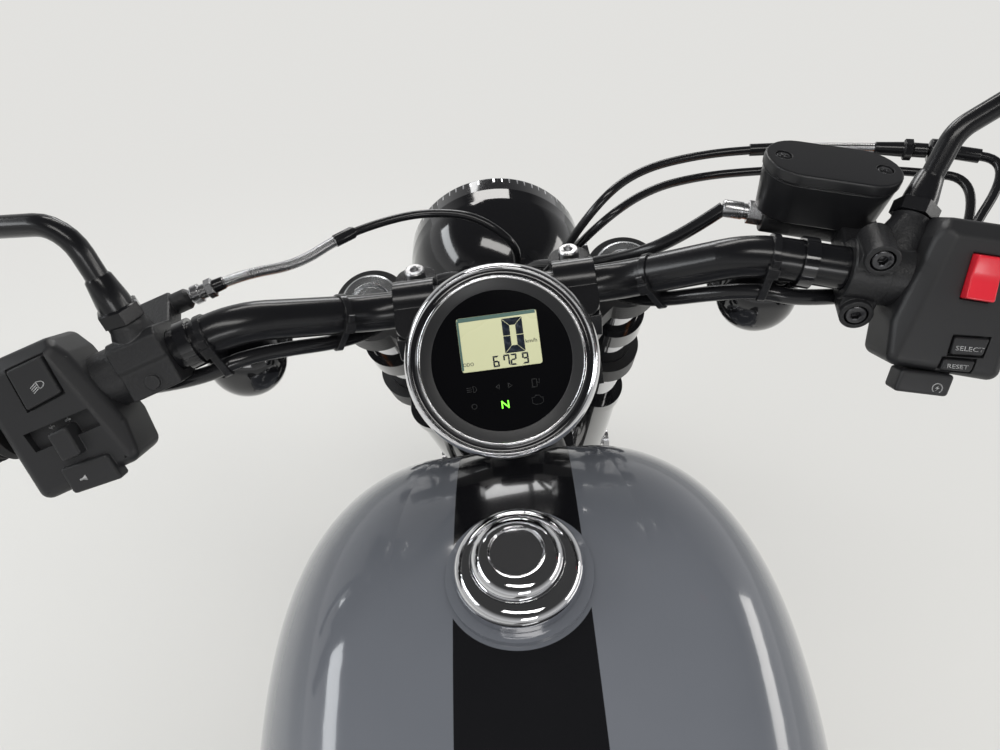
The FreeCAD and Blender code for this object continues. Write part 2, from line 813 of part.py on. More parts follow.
# Caliper over a disc's rim, drawn with the disc's radius along x and then turned round
# the axle by an angle above straight ahead
def caliper(radius, middle, inner, outer, angle):
    low = min(inner, outer)
    high = max(inner, outer)
    case = block(radius - 33.0, radius + 26.0, low, high, -40.0, 40.0)
    case = case.makeFillet(9.0, [edge for edge in case.Edges if abs(edge.Length - (high - low)) < 0.1])
    slot = block(radius - 90.0, radius + 4.0, middle - disc_wall / 2 - 3.0, middle + disc_wall / 2 + 3.0,
                 -60.0, 60.0)
    solid = case.cut(slot)
    solid.rotate(Vector(0, 0, 0), Vector(0, -1, 0), angle)
    return solid


def front_caliper():
    side = front_disc_side
    body = caliper(front_disc_radius, side, side - 20.0, side + 22.0, caliper_angle)
    body.translate(Vector(axle_p, 0, axle_s))
    lug = block(axle_p - 92.0, axle_p, side + 14.0, side + 30.0, axle_s + 84.0, axle_s + 128.0)
    leg = cylinder(Vector(axle_p, fork_half, 0), Vector(axle_p, fork_half, 900.0), slider_radius + fit)
    return from_fork(fused([body, lug]).cut(leg))


add("steering", "front_caliper", front_caliper())


# Fuel tank: x, bottom, widest line, top, half width of the bottom, half width
tank_rows = [
    (1172.0, 742.0, 765.0, 792.0, 62.0, 84.0),
    (1140.0, 716.0, 766.0, 832.0, 84.0, 140.0),
    (1070.0, 696.0, 764.0, 860.0, 100.0, 176.0),
    (970.0, 682.0, 760.0, 862.0, 104.0, 184.0),
    (850.0, 676.0, 750.0, 838.0, 94.0, 166.0),
    (730.0, 676.0, 732.0, 788.0, 72.0, 122.0),
    (640.0, 684.0, 712.0, 742.0, 46.0, 74.0),
]
backbone = [fork_point(0, 0, 936.0), Vector(1120.0, 0, 768.0), Vector(604.0, 0, 648.0)]


def tank():
    body = lofted(tank_rows)
    lift = backbone_radius + running_gap
    tunnel = plate([
        (1260.0, backbone[0].z + lift), (backbone[1].x, backbone[1].z + lift),
        (backbone[2].x, backbone[2].z + lift), (backbone[2].x, 560.0), (1260.0, 560.0),
    ], -tunnel_half, tunnel_half)
    collar = cylinder(Vector(cap_centre_x, 0, 840.0), Vector(cap_centre_x, 0, cap_base), cap_skirt_radius + 6.0)
    return fused([body, collar]).cut(tunnel)


cap_base = 866.0
add("frame", "fuel_tank", tank())
add("frame", "filler_cap", turned([
    (0.0, fit), (cap_skirt_radius, fit), (cap_skirt_radius, 5.0), ((37.0, 13.0), (29.0, 15.0)),
    (28.0, 18.0), ((24.0, 23.0), (17.0, 24.0)), (16.0, 22.0), (0.0, 22.0),
], Vector(cap_centre_x, 0, cap_base), Vector(0, 0, 1)))


# The frame's long tubes, each grown by a margin
def frame_rods(margin):
    down = Vector(1172.0, cradle_half, 380.0)
    nose = Vector(1140.0, cradle_half, cradle_height)
    heel = Vector(596.0, cradle_half, cradle_height)
    knee = Vector(562.0, upright_half, 272.0)
    loop = [fork_point(0, 10.0, 905.0), Vector(1198.0, 50.0, 660.0), down, nose, heel, knee,
            Vector(572.0, upright_half, 520.0), Vector(596.0, 62.0, backbone[2].z)]
    rail = [Vector(600.0, 62.0, backbone[2].z - 6.0), Vector(520.0, 66.0, rail_height),
            Vector(318.0, 74.0, rail_height)]
    loop_tube = rod(loop, tube_radius + margin, 90.0)
    rail_tube = rod(rail, rail_radius + margin, 90.0)
    spine = rod(backbone, backbone_radius + margin, 260.0)
    return [spine, loop_tube, rail_tube, mirrored(loop_tube), mirrored(rail_tube)]


def frame():
    parts = [
        cylinder(fork_point(0, 0, head_low), fork_point(0, 0, head_high), head_outer),
        cross_bar(backbone[2].x, backbone[2].z, -70.0, 70.0, 14.0),
    ] + frame_rods(0.0)
    pairs = [
        block(300.0, 372.0, 70.0, fender_half + 2.0, rail_height - 14.0, rail_height + 6.0),
        block(1030.0, 1150.0, case_half + fit, case_half + 9.0, 286.0, 322.0),
        plate([(pivot_x - 12.0, pivot_z + 20.0), (616.0, pivot_z + 6.0), (616.0, pivot_z - 34.0),
               (pivot_x - 12.0, pivot_z - 24.0)], case_half + fit, case_half + 7.0),
    ]
    for piece in pairs:
        parts += [piece, mirrored(piece)]
    parts.append(cross_bar(pivot_x, pivot_z, -86.0, 86.0, axle_radius))
    parts.append(cross_bar(620.0, cradle_height, -cradle_half, cradle_half, 12.0))
    parts.append(cross_bar(1120.0, cradle_height, -cradle_half, cradle_half, 12.0))
    for x in (1090.0, 700.0):
        share = (x - backbone[2].x) / (backbone[1].x - backbone[2].x)
        z = backbone[2].z + (backbone[1].z - backbone[2].z) * share
        parts.append(cross_bar(x, z, -tunnel_half + fit, tunnel_half - fit, 9.0))
    parts.append(stand_lug())
    solid = fused(parts)
    bore = cylinder(fork_point(0, 0, head_low - 5.0), fork_point(0, 0, head_high + 5.0), stem_radius + fit)
    return solid.cut(bore)


# Engine: the crankcase stays between the cradle tubes
def crankcase():
    case = plate([
        (612.0, 214.0), (1000.0, 214.0), ((1042.0, 250.0), (1042.0, 330.0)),
        (930.0, 404.0), (850.0, 380.0), (770.0, 404.0), (700.0, 436.0), (622.0, 430.0),
        (600.0, 400.0), (600.0, 226.0),
    ], -case_half, case_half)
    shaft = cross_bar(front_pulley_x, front_pulley_z, case_half - 1.0, pulley_low + 1.0, 14.0)
    pulley = cross_bar(front_pulley_x, front_pulley_z, pulley_low, pulley_high, front_pulley_radius - fit)
    return fused([case, shaft, pulley])


add("frame", "crankcase", crankcase())


def along_cylinder(shape, side):
    moved = shape.copy()
    moved.rotate(Vector(0, 0, 0), Vector(0, 1, 0), side * cylinder_angle)
    moved.translate(Vector(crank_x, 0, crank_z))
    return moved


def square_fin(half, wall, height):
    fin = Part.makeBox(2 * half, 2 * half, wall, Vector(-half, -half, height))
    return fin.makeFillet(18.0, [edge for edge in fin.Edges if abs(edge.Length - wall) < 0.01])


def barrel():
    parts = [Part.makeCylinder(barrel_radius, barrel_top - barrel_start, Vector(0, 0, barrel_start))]
    count = int((barrel_top - barrel_start - 4.0 - fin_wall) / fin_pitch)
    for index in range(count + 1):
        parts.append(square_fin(fin_half, fin_wall, barrel_start + 4.0 + index * fin_pitch))
    return fused(parts)


def cylinder_head():
    parts = [square_fin(fin_half - 12.0, head_top - barrel_top - 2 * fit, barrel_top + fit)]
    for index in range(6):
        parts.append(square_fin(fin_half + 2.0, fin_wall + 0.5, barrel_top + 4.0 + index * 12.0))
    return fused(parts)


def rocker_cover():
    cover = Part.makeBox(2 * fin_half - 18.0, 2 * fin_half - 6.0, cover_top - head_top,
                         Vector(-fin_half + 9.0, -fin_half + 3.0, head_top))
    upright = [edge for edge in cover.Edges if abs(edge.Length - cover_top + head_top) < 0.01]
    return cover.makeFillet(16.0, upright)


case_room = crankcase()
barrels = [along_cylinder(barrel(), side).cut(case_room) for side in (1, -1)]
add("frame", "cylinders", Part.makeCompound(barrels))
add("frame", "cylinder_heads", Part.makeCompound([along_cylinder(cylinder_head(), side) for side in (1, -1)]))
add("frame", "rocker_covers", Part.makeCompound([along_cylinder(rocker_cover(), side) for side in (1, -1)]))


def cover_disc(x, z, radius, y0, depth):
    return turned([(0.0, 0.0), (radius, 0.0), (radius, depth - 8.0), (radius - 8.0, depth),
                   (radius * 0.45, depth), (radius * 0.4, depth + 3.0), (0.0, depth + 3.0)],
                  Vector(x, y0, z), Vector(0, math.copysign(1.0, y0), 0))


right_cover = fused([
    cover_disc(crank_x + 10.0, crank_z - 6.0, 84.0, -case_half, 34.0),
    cover_disc(crank_x - 110.0, crank_z + 14.0, 70.0, -case_half, 26.0),
])
add("frame", "engine_covers", Part.makeCompound([
    cover_disc(crank_x + 10.0, crank_z - 6.0, 92.0, case_half, 40.0), right_cover]))


def air_cleaner():
    body = turned([(0.0, 0.0), (72.0, 0.0), (78.0, 8.0), (78.0, 34.0), ((70.0, 46.0), (52.0, 48.0)),
                   (0.0, 48.0)], Vector(crank_x, -74.0, 560.0), Vector(0, -1, 0))
    neck = cross_bar(crank_x, 560.0, -74.0, -30.0, 26.0)
    return fused([body, neck])


add("frame", "air_cleaner", air_cleaner())

seat_rows = [
    (tank_rows[-1][0] - fit, 694.0, 714.0, 740.0, 46.0, 70.0),
    (590.0, 680.0, 700.0, 722.0, 60.0, 100.0),
    (530.0, 656.0, 682.0, 702.0, 84.0, 128.0),
    (470.0, seat_base + 2.0, 670.0, 694.0, 104.0, 154.0),
    (400.0, seat_base + 0.5, 680.0, 708.0, 112.0, 160.0),
    (350.0, seat_base, 694.0, 738.0, 110.0, 150.0),
    (318.0, seat_base, 702.0, 756.0, 100.0, 136.0),
]


add("frame", "seat", lofted(seat_rows))
pillion_low = rear_tyre_radius + fender_radius + fit
add("frame", "pillion_seat", lofted([
    (304.0, pillion_low, pillion_low + 22.0, pillion_low + 52.0, 80.0, 112.0),
    (200.0, pillion_low, pillion_low + 26.0, pillion_low + 60.0, 86.0, 120.0),
    (80.0, pillion_low, pillion_low + 24.0, pillion_low + 54.0, 80.0, 110.0),
    (-10.0, pillion_low, pillion_low + 18.0, pillion_low + 36.0, 60.0, 82.0),
]))


# Rear fender and the struts that carry it
def rear_fender():
    half = fender_half
    outer = fender_radius
    inner = outer - sheet_wall
    skirt = outer - 74.0
    steps = [
        (skirt, -half), (outer - 30.0, -half), ((outer, 0.0), (outer - 30.0, half)), (skirt, half),
        (skirt, half - sheet_wall), (inner - 30.0, half - sheet_wall),
        ((inner, 0.0), (inner - 30.0, -half + sheet_wall)), (skirt, -half + sheet_wall),
    ]
    return arched(steps, rear_hub, 28.0, 178.0)


add("frame", "rear_fender", rear_fender())

strut_inner = fender_half + 2.0 + fit
strut_outer = strut_inner + 7.0
rack_middle = Vector(20.0, strut_outer, 606.0)      # holes for a luggage rack's side rail
rack_spacing = 120.0
rack_setback = 12.0          # of the right side's holes, over the muffler
rack_hole_radius = 4.2
shock_top = Vector(196.0, shock_side, 600.0)
shock_foot = Vector(66.0, shock_side, 374.0)


def strut(rack_x):
    bar = plate([
        (372.0, rail_height - 16.0), (372.0, rail_height + 8.0), (150.0, 640.0), (-190.0, 600.0),
        ((-206.0, 588.0), (-190.0, 576.0)), (150.0, 596.0),
    ], strut_inner, strut_outer)
    boss = cylinder(Vector(shock_top.x, strut_outer - 1.0, shock_top.z),
                    Vector(shock_top.x, shock_side - 14.0 - fit, shock_top.z), 15.0)
    pin = cross_bar(shock_top.x, shock_top.z, strut_outer - 1.0, shock_side + 18.0, 7.0)
    pad = cross_bar(-120.0, 590.0, fender_half + fit, strut_inner, 12.0)
    solid = fused([bar, boss, pin, pad])
    for x in (rack_x - rack_spacing / 2, rack_x + rack_spacing / 2):
        solid = solid.cut(cross_bar(x, rack_middle.z, strut_inner - 3.0, strut_outer + 3.0, rack_hole_radius))
    return solid


rack_right = Vector(rack_middle.x - rack_setback, -rack_middle.y, rack_middle.z)
add("frame", "fender_struts", Part.makeCompound([strut(rack_middle.x), mirrored(strut(rack_right.x))]))


# Swingarm with the rear axle in it
def swingarm():
    arm_outer = arm_inner + arm_wall
    arm = plate([
        (512.0, pivot_z - 26.0), (512.0, pivot_z + 26.0), (60.0, rear_tyre_radius + 22.0),
        (-30.0, rear_tyre_radius + 20.0), ((-50.0, rear_tyre_radius), (-30.0, rear_tyre_radius - 20.0)),
        (60.0, rear_tyre_radius - 20.0),
    ], arm_inner, arm_outer)
    boss = cross_bar(shock_foot.x, shock_foot.z, arm_inner + 4.0, shock_side - 14.0 - fit, 15.0)
    ear = plate([(shock_foot.x - 18.0, rear_tyre_radius + 10.0), (shock_foot.x - 12.0, shock_foot.z + 6.0),
                 (shock_foot.x + 12.0, shock_foot.z + 6.0), (shock_foot.x + 24.0, rear_tyre_radius + 12.0)],
                arm_inner + 4.0, arm_outer - 4.0)
    pin = cross_bar(shock_foot.x, shock_foot.z, arm_inner + 8.0, shock_side + 18.0, 7.0)
    parts = []
    for piece in (arm, boss, ear, pin):
        parts += [piece, mirrored(piece)]
    parts.append(block(462.0, 512.0, -arm_inner, arm_inner, pivot_z - 24.0, pivot_z + 24.0))
    neck = upright_half - tube_radius - fit
    parts.append(block(500.0, pivot_x, -neck, neck, pivot_z - 20.0, pivot_z + 20.0))
    parts.append(cross_bar(pivot_x, pivot_z, -neck, neck, 23.0))
    solid = fused(parts).cut(cross_bar(pivot_x, pivot_z, -80.0, 80.0, axle_radius + fit))
    spindle = cross_bar(0, rear_tyre_radius, -arm_outer - 12.0, arm_outer + 12.0, axle_radius)
    left = cross_bar(0, rear_tyre_radius, pulley_high + fit, arm_inner, 16.0)
    right = cross_bar(0, rear_tyre_radius, -arm_inner, rear_disc_side - hub_overhang - fit, 16.0)
    nuts = cross_bar(0, rear_tyre_radius, arm_outer, arm_outer + 9.0, 16.0)
    return fused([solid, spindle, left, right, nuts, mirrored(nuts)])


add("frame", "swingarm", swingarm())


# Shock absorber: damper with an eye at each end, inside its coil spring
def damper():
    axis = unit(shock_top - shock_foot)
    long = (shock_top - shock_foot).Length
    parts = [
        turned([(0.0, 10.0), (10.0, 10.0), (10.0, 34.0), (spring_radius, 34.0), (spring_radius, 40.0),
                (17.0, 40.0), (17.0, 120.0), (8.0, 124.0), (8.0, long - 46.0),
                (spring_radius, long - 46.0), (spring_radius, long - 38.0), (13.0, long - 30.0),
                (10.0, long - 10.0), (0.0, long - 10.0)], shock_foot, axis),
    ]
    for eye in (shock_foot, shock_top):
        parts.append(cross_bar(eye.x, eye.z, shock_side - 14.0, shock_side + 14.0, 16.0))
    solid = fused(parts)
    for eye in (shock_foot, shock_top):
        solid = solid.cut(cross_bar(eye.x, eye.z, shock_side - 40.0, shock_side + 40.0, 7.0 + fit))
    return solid


def spring():
    axis = unit(shock_top - shock_foot)
    long = (shock_top - shock_foot).Length
    low = 40.0 + wire_radius + fit
    high = long - 46.0 - wire_radius - fit
    turns = 7.0
    helix = Part.makeHelix((high - low) / turns, high - low, spring_radius - wire_radius)
    ring = Part.Wire(Part.makeCircle(wire_radius, Vector(spring_radius - wire_radius, 0, 0),
                                     Vector(0, 1, 0)))
    coil = Part.Wire(helix).makePipeShell([ring], True, True)
    coil.Placement = Placement(shock_foot + axis * low, Rotation(Vector(0, 0, 1), axis))
    return coil


add("frame", "dampers", both(damper()))
add("frame", "springs", both(spring()))


# Belt drive: the front pulley's cover hides the front end of the belt
def belt():
    reach = front_pulley_x
    rise = front_pulley_z - rear_tyre_radius
    gap = math.hypot(reach, rise)
    tilt = math.atan2(rise, reach)

    def loop(grow):
        big = rear_pulley_radius + grow
        small = front_pulley_radius + grow
        lean_in = math.acos((big - small) / gap)
        up = tilt + lean_in
        low = tilt - lean_in
        centre = (0.0, rear_tyre_radius)
        far = (reach, front_pulley_z)

        def at(middle, radius, angle):
            return (middle[0] + radius * math.cos(angle), middle[1] + radius * math.sin(angle))

        return outline([
            at(centre, big, up), (at(centre, big, math.pi + tilt), at(centre, big, low)),
            at(far, small, low), (at(far, small, tilt), at(far, small, up)),
        ], lambda s: Vector(s[0], belt_side - belt_width / 2, s[1]))

    face = Part.Face([loop(belt_wall), loop(0.0)])
    return face.extrude(Vector(0, belt_width, 0))


add("frame", "drive_belt", belt())


# Exhaust: a header from each head and one long muffler on the right
muffler_front = Vector(560.0, muffler_side, 250.0)
muffler_back = Vector(-70.0, muffler_side - 6.0, 268.0)


# An exhaust port's middle on its cylinder head, and the way out of it
def head_port(side):
    lift = (barrel_top + head_top) / 2
    out = fin_half + 2.0 + fit
    local = Vector(out, -20.0, lift) if side > 0 else Vector(-10.0, -out, lift)
    way = Vector(1, 0, 0) if side > 0 else Vector(0, -1, 0)
    turn = Rotation(Vector(0, 1, 0), side * cylinder_angle)
    return turn.multVec(local) + Vector(crank_x, 0, crank_z), turn.multVec(way)


def exhaust():
    front, front_way = head_port(1)
    rear, rear_way = head_port(-1)
    inlet = muffler_front - unit(muffler_back - muffler_front) * 90.0
    header = rod([
        front, front + front_way * 44.0, Vector(1092.0, -142.0, 380.0), Vector(1050.0, -160.0, 246.0),
        Vector(930.0, -162.0, 232.0), inlet, muffler_front,
    ], header_radius, 80.0)
    second = rod([
        rear, rear + rear_way * 60.0, Vector(664.0, -160.0, 400.0), inlet,
    ], header_radius, 60.0)
    return fused([header, second])


add("frame", "exhaust_pipes", exhaust())


def muffler():
    long = (muffler_back - muffler_front).Length
    axis = unit(muffler_back - muffler_front)
    return turned([
        (0.0, fit), (20.0, fit), (22.0, 10.0), (muffler_radius, 90.0), (muffler_radius, long - 20.0),
        (muffler_radius - 6.0, long), (24.0, long), (24.0, long - 60.0), (0.0, long - 60.0),
    ], muffler_front, axis)


add("frame", "muffler", muffler())


def side_cover():
    cover = plate([
        (440.0, 430.0), (570.0, 420.0), (580.0, 560.0), (500.0, 606.0), (400.0, 606.0),
    ], 90.0, 104.0)
    tab = block(480.0, 520.0, 70.0, 90.0, 580.0, 606.0)
    return fused([cover, tab])


add("frame", "side_covers", both(side_cover()))


def tail_lamp():
    middle = Vector(-262.0, 0, 578.0)
    body = turned([(0.0, 0.0), (38.0, 0.0), (42.0, 20.0), (42.0, 84.0), (38.0, 90.0), (0.0, 92.0)],
                  middle, Vector(-1, 0, 0))
    return body.cut(cross_bar(0, rear_tyre_radius, -120.0, 120.0, fender_radius + fit))


add("frame", "tail_lamp", tail_lamp())


plate_face_x = -404.0
plate_hole_half = 60.0
plate_hole_z = 496.0
plate_hole_radius = 3.2


def plate_bracket():
    sheet = block(plate_face_x, -400.0, -92.0, 92.0, 380.0, 520.0)
    arm = block(-401.0, -340.0, -22.0, 22.0, 430.0, 462.0)
    solid = fused([sheet, arm]).cut(cross_bar(0, rear_tyre_radius, -60.0, 60.0, fender_radius + fit))
    for y in (-plate_hole_half, plate_hole_half):
        at = Vector(plate_face_x - 9.0, y, plate_hole_z)
        solid = solid.cut(cylinder(at, at + Vector(18.0, 0, 0), plate_hole_radius))
    return solid


add("frame", "plate_bracket", plate_bracket())


def rear_signal():
    at = Vector(-160.0, 150.0, 588.0)
    bullet = turned([
        (0.0, -30.0), ((18.0, -24.0), (25.0, 0.0)), (26.0, 12.0), (26.0, 20.0), ((17.0, 29.0), (5.0, 32.0)), (0.0, 32.0),
    ], at, Vector(-1, 0, 0))
    return fused([bullet, cylinder(Vector(at.x, strut_outer + fit, at.z), at, 7.0)])


add("frame", "rear_turn_signals", both(rear_signal()))


# Foot pegs on brackets from the cradle, with the pedals ahead of them
def foot_set(pedal_reach):
    x = 1000.0
    arm = rod([Vector(x, cradle_half + tube_radius + fit, cradle_height), Vector(x, 188.0, cradle_height),
               Vector(x, 200.0, 232.0)], 8.0, 30.0)
    peg = turned([(0.0, 0.0), (13.0, 0.0), (16.0, 8.0), (16.0, 92.0), (13.0, 98.0), (0.0, 98.0)],
                 Vector(x, 196.0, 238.0), Vector(0, 1, 0.06))
    pedal = rod([Vector(x, 192.0, 228.0), Vector(x + 40.0, 200.0, 236.0),
                 Vector(x + pedal_reach, 204.0, 256.0), Vector(x + pedal_reach, 246.0, 258.0)], 7.0, 16.0)
    return fused([arm, peg, pedal])


add("frame", "foot_controls", Part.makeCompound([foot_set(132.0), mirrored(foot_set(116.0))]))


def rear_caliper():
    side = rear_disc_side
    body = caliper(rear_disc_radius, side, side - 20.0, side + 18.0, 58.0)
    lug = block(40.0, 84.0, -arm_inner + fit, side - 10.0, 12.0, 104.0)
    return placed(fused([body, lug]), rear_hub)


add("frame", "rear_caliper", rear_caliper())


# How the motorcycle stands: leaned to the left, pitched so that both tyres touch the floor
def wheel_drop(radius, crown, axle):
    return (radius - crown) * math.sqrt(1.0 - axle.z ** 2) + crown


def parked_placement():
    turn = Rotation(fork_up, steer_angle)
    pitch = 0.0
    for step in range(8):
        stance = Rotation(Vector(0, 1, 0), pitch).multiply(Rotation(Vector(1, 0, 0), -lean_angle))
        rear_axis = stance.multVec(Vector(0, 1, 0))
        front_axis = stance.multVec(turn.multVec(Vector(0, 1, 0)))
        rear_need = wheel_drop(rear_tyre_radius, rear_crown, rear_axis)
        front_need = wheel_drop(front_tyre_radius, front_crown, front_axis)
        span = stance.multVec(steered(front_hub) - rear_hub)
        error = (front_need - rear_need) - span.z
        pitch -= math.degrees(error / span.Length)
    lift = rear_need - stance.multVec(rear_hub).z
    return Placement(Vector(0, 0, lift), stance)


def steered(point):
    base = fork_point(0, 0, 0)
    return Rotation(fork_up, steer_angle).multVec(point - base) + base


parked = parked_placement()


# Side stand: an eye beside the frame's lug, a bent leg and a foot flat on the floor
def stand_foot_point():
    low = parked.multVec(stand_reach)
    high = parked.multVec(stand_reach + Vector(0, 0, 100.0))
    share = (foot_height - low.z) / (high.z - low.z)
    return stand_reach + Vector(0, 0, 100.0 * share)


foot_point = stand_foot_point()
stand_down = unit(foot_point - stand_pivot)
stand_back = unit(Vector(-0.97, 0.20, -0.10))
stand_axis = unit(stand_down.cross(stand_back))


def side_stand():
    half = stand_eye_half
    eye = cylinder(stand_pivot - stand_axis * half, stand_pivot + stand_axis * half, 18.0)
    leg = cylinder(stand_pivot, foot_point, stand_radius)
    sole_at = parked.multVec(foot_point)
    sole = Part.makeCylinder(foot_radius, 7.0, Vector(sole_at.x, sole_at.y, 0))
    sole.Placement = parked.inverse().multiply(sole.Placement)
    ball = Part.makeSphere(foot_ball, foot_point)
    bore = cylinder(stand_pivot - stand_axis * 60.0, stand_pivot + stand_axis * 60.0, 7.0 + fit)
    return fused([eye, leg, ball, sole]).cut(bore)


def stand_lug():
    half = stand_eye_half + fit
    inner = stand_pivot - stand_axis * half
    root = Vector(stand_pivot.x, cradle_half, cradle_height)
    disc = cylinder(inner, inner - stand_axis * 8.0, 18.0)
    web = rod([inner - stand_axis * 7.0, root], 9.0, 10.0)
    pin = cylinder(inner - stand_axis * 4.0, stand_pivot + stand_axis * half, 7.0)
    head = cylinder(stand_pivot + stand_axis * half, stand_pivot + stand_axis * (half + 6.0), 12.0)
    return fused([disc, web, pin, head])


add("side_stand", "side_stand", side_stand())
add("frame", "frame", frame())


# Everything in the steering group turns to its rest angle, then all is leaned and the whole
# is centred over the origin
steering_bodies = ("steering", "front_wheel")
base = fork_point(0, 0, 0)
steer_turn = Placement(Vector(0, 0, 0), Rotation(fork_up, steer_angle), base)
placed_pieces = []
for body, node, shape in pieces:
    stance = parked.multiply(steer_turn) if body in steering_bodies else parked
    moved = shape.copy()
    moved.Placement = stance.multiply(moved.Placement)
    placed_pieces.append((body, node, moved))

whole = Part.makeCompound([shape for body, node, shape in placed_pieces])
room = whole.optimalBoundingBox(False, False)
shift = Vector(-(room.XMin + room.XMax) / 2, -(room.YMin + room.YMax) / 2, 0)

os.makedirs("parts", exist_ok=True)
for body, node, shape in placed_pieces:
    shape.translate(shift)
    shape.exportStep(os.path.join("parts", node + ".step"))


def told(name, point, direction):
    at = parked.multVec(point) + shift
    way = parked.Rotation.multVec(direction)
    print(name, "at", [round(v, 2) for v in at], "along", [round(v, 5) for v in way])


print("box", [round(v, 1) for v in (room.XLength, room.YLength, room.ZMin, room.ZMax)])
print("pitch", [round(v, 4) for v in parked.Rotation.toEuler()])
print("shift", [round(v, 3) for v in shift])
told("steering", fork_point(0, 0, head_low), fork_up)
told("front_wheel", steered(front_hub), Rotation(fork_up, steer_angle).multVec(Vector(0, 1, 0)))
told("rear_wheel", rear_hub, Vector(0, 1, 0))
told("side_stand", stand_pivot, stand_axis)
told("foot", foot_point, Vector(0, 0, 1))
told("rack_left", rack_middle, Vector(0, 1, 0))
told("rack_right", rack_right, Vector(0, -1, 0))
told("plate", Vector(plate_face_x, 0, plate_hole_z), Vector(-1, 0, 0))
print("stand angle", round(math.degrees(stand_down.getAngle(stand_back)), 2))
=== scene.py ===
import json
import math

import bmesh
import bpy
from mathutils import Matrix, Vector
from mathutils.bvhtree import BVHTree
from mathutils.kdtree import KDTree


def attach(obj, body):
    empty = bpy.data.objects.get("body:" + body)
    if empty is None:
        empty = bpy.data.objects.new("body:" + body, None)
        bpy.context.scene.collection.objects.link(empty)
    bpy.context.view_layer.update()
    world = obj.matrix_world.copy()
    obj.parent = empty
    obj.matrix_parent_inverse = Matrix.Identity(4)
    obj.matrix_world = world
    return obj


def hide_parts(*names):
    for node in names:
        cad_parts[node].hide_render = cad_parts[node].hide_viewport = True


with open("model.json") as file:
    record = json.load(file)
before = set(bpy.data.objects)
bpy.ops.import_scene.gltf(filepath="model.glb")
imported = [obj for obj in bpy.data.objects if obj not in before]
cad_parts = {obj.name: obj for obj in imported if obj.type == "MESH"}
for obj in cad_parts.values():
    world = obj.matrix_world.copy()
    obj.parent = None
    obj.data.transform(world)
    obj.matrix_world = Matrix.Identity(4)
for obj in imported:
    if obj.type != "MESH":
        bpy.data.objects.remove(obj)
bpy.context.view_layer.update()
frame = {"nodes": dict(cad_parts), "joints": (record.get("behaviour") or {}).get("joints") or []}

# The upright motorcycle's own axes in millimetres: x forward from the rear axle, y to the
# left, z up from the ground. Everything below is placed in them and then leaned.
stance = {
    "rake": math.radians(29.0),
    "parkedSteer": math.radians(2.0),
    "rearTyreRadius": 323.0,
    "wheelbase": 1570.0,
    "trail": 130.0,
    "headX": 1170.0,
}
joints = {joint["name"]: joint for joint in frame["joints"]}
axisX, axisY, axisZ = Vector((1, 0, 0)), Vector((0, 1, 0)), Vector((0, 0, 1))


def bikeMatrix():
    left = Vector(joints["rear_wheel"]["axis"]).normalized()
    stem = Vector(joints["steering"]["axis"]).normalized()
    forkAhead = left.cross(stem).normalized()
    ahead = forkAhead * math.cos(stance["rake"]) - stem * math.sin(stance["rake"])
    above = forkAhead * math.sin(stance["rake"]) + stem * math.cos(stance["rake"])
    origin = Vector(joints["rear_wheel"]["pos_m"]) - above * stance["rearTyreRadius"] / 1000
    turn = Matrix((ahead, left, above)).transposed().to_4x4()
    return Matrix.Translation(origin) @ turn @ Matrix.Scale(0.001, 4)


def barMatrix():
    pivot = Vector(joints["steering"]["pos_m"])
    turn = Matrix.Rotation(stance["parkedSteer"], 4, Vector(joints["steering"]["axis"]))
    return Matrix.Translation(pivot) @ turn @ Matrix.Translation(-pivot) @ onFrame


onFrame = bikeMatrix()
onBars = barMatrix()
places = {"frame": onFrame, "rear_wheel": onFrame, "side_stand": onFrame, "steering": onBars, "front_wheel": onBars}
upward = (onFrame.to_3x3() @ axisZ).normalized()


def newObject(name, data):
    made = bpy.data.objects.new(name, data)
    bpy.context.scene.collection.objects.link(made)
    return made


# The photograph's camera, over the rider's left knee
shot = {"eye": Vector((776.8, -18.4, 1266.0)), "heading": 3.285, "down": 43.863, "roll": -7.706, "lens": 26.344}


def makeCamera():
    heading, down, roll = (math.radians(shot[angle]) for angle in ("heading", "down", "roll"))
    ahead = Vector((math.cos(down) * math.cos(heading), math.cos(down) * math.sin(heading), -math.sin(down)))
    right = ahead.cross(axisZ).normalized()
    above = right.cross(ahead)
    across = right * math.cos(roll) + above * math.sin(roll)
    upright = above * math.cos(roll) - right * math.sin(roll)
    data = bpy.data.cameras.new("camera")
    data.lens = shot["lens"]
    data.sensor_width = 36.0
    data.clip_start, data.clip_end = 0.01, 100.0
    camera = newObject("camera", data)
    spin = (onFrame.to_3x3() * 1000.0) @ Matrix((across, upright, -ahead)).transposed()
    camera.matrix_world = Matrix.Translation(onFrame @ shot["eye"]) @ spin.to_4x4()
    bpy.context.scene.camera = camera


# Shader nodes: sockets take a number, a colour or what feeds them

def feed(tree, node, sockets):
    for label, value in sockets.items():
        socket = node.inputs[label]
        if isinstance(value, bpy.types.NodeSocket):
            tree.links.new(value, socket)
        else:
            socket.default_value = (*value, 1) if socket.type == "RGBA" else value
    return node


def addNode(tree, kind, sockets={}, **settings):
    node = tree.nodes.new(kind)
    for label, value in settings.items():
        setattr(node, label, value)
    return feed(tree, node, sockets)


def mathOf(tree, operation, first, second=0.0, clamp=False):
    return addNode(tree, "ShaderNodeMath", {0: first, 1: second}, operation=operation, use_clamp=clamp).outputs[0]


def noiseOf(tree, vector, scale, detail, rough):
    sockets = {"Vector": vector, "Scale": scale, "Detail": detail, "Roughness": rough}
    return addNode(tree, "ShaderNodeTexNoise", sockets).outputs["Fac"]


def rangeOf(tree, value, low, high, toLow=0.0, toHigh=1.0, **settings):
    sockets = {"Value": value, "From Min": low, "From Max": high, "To Min": toLow, "To Max": toHigh}
    return addNode(tree, "ShaderNodeMapRange", sockets, **settings).outputs[0]


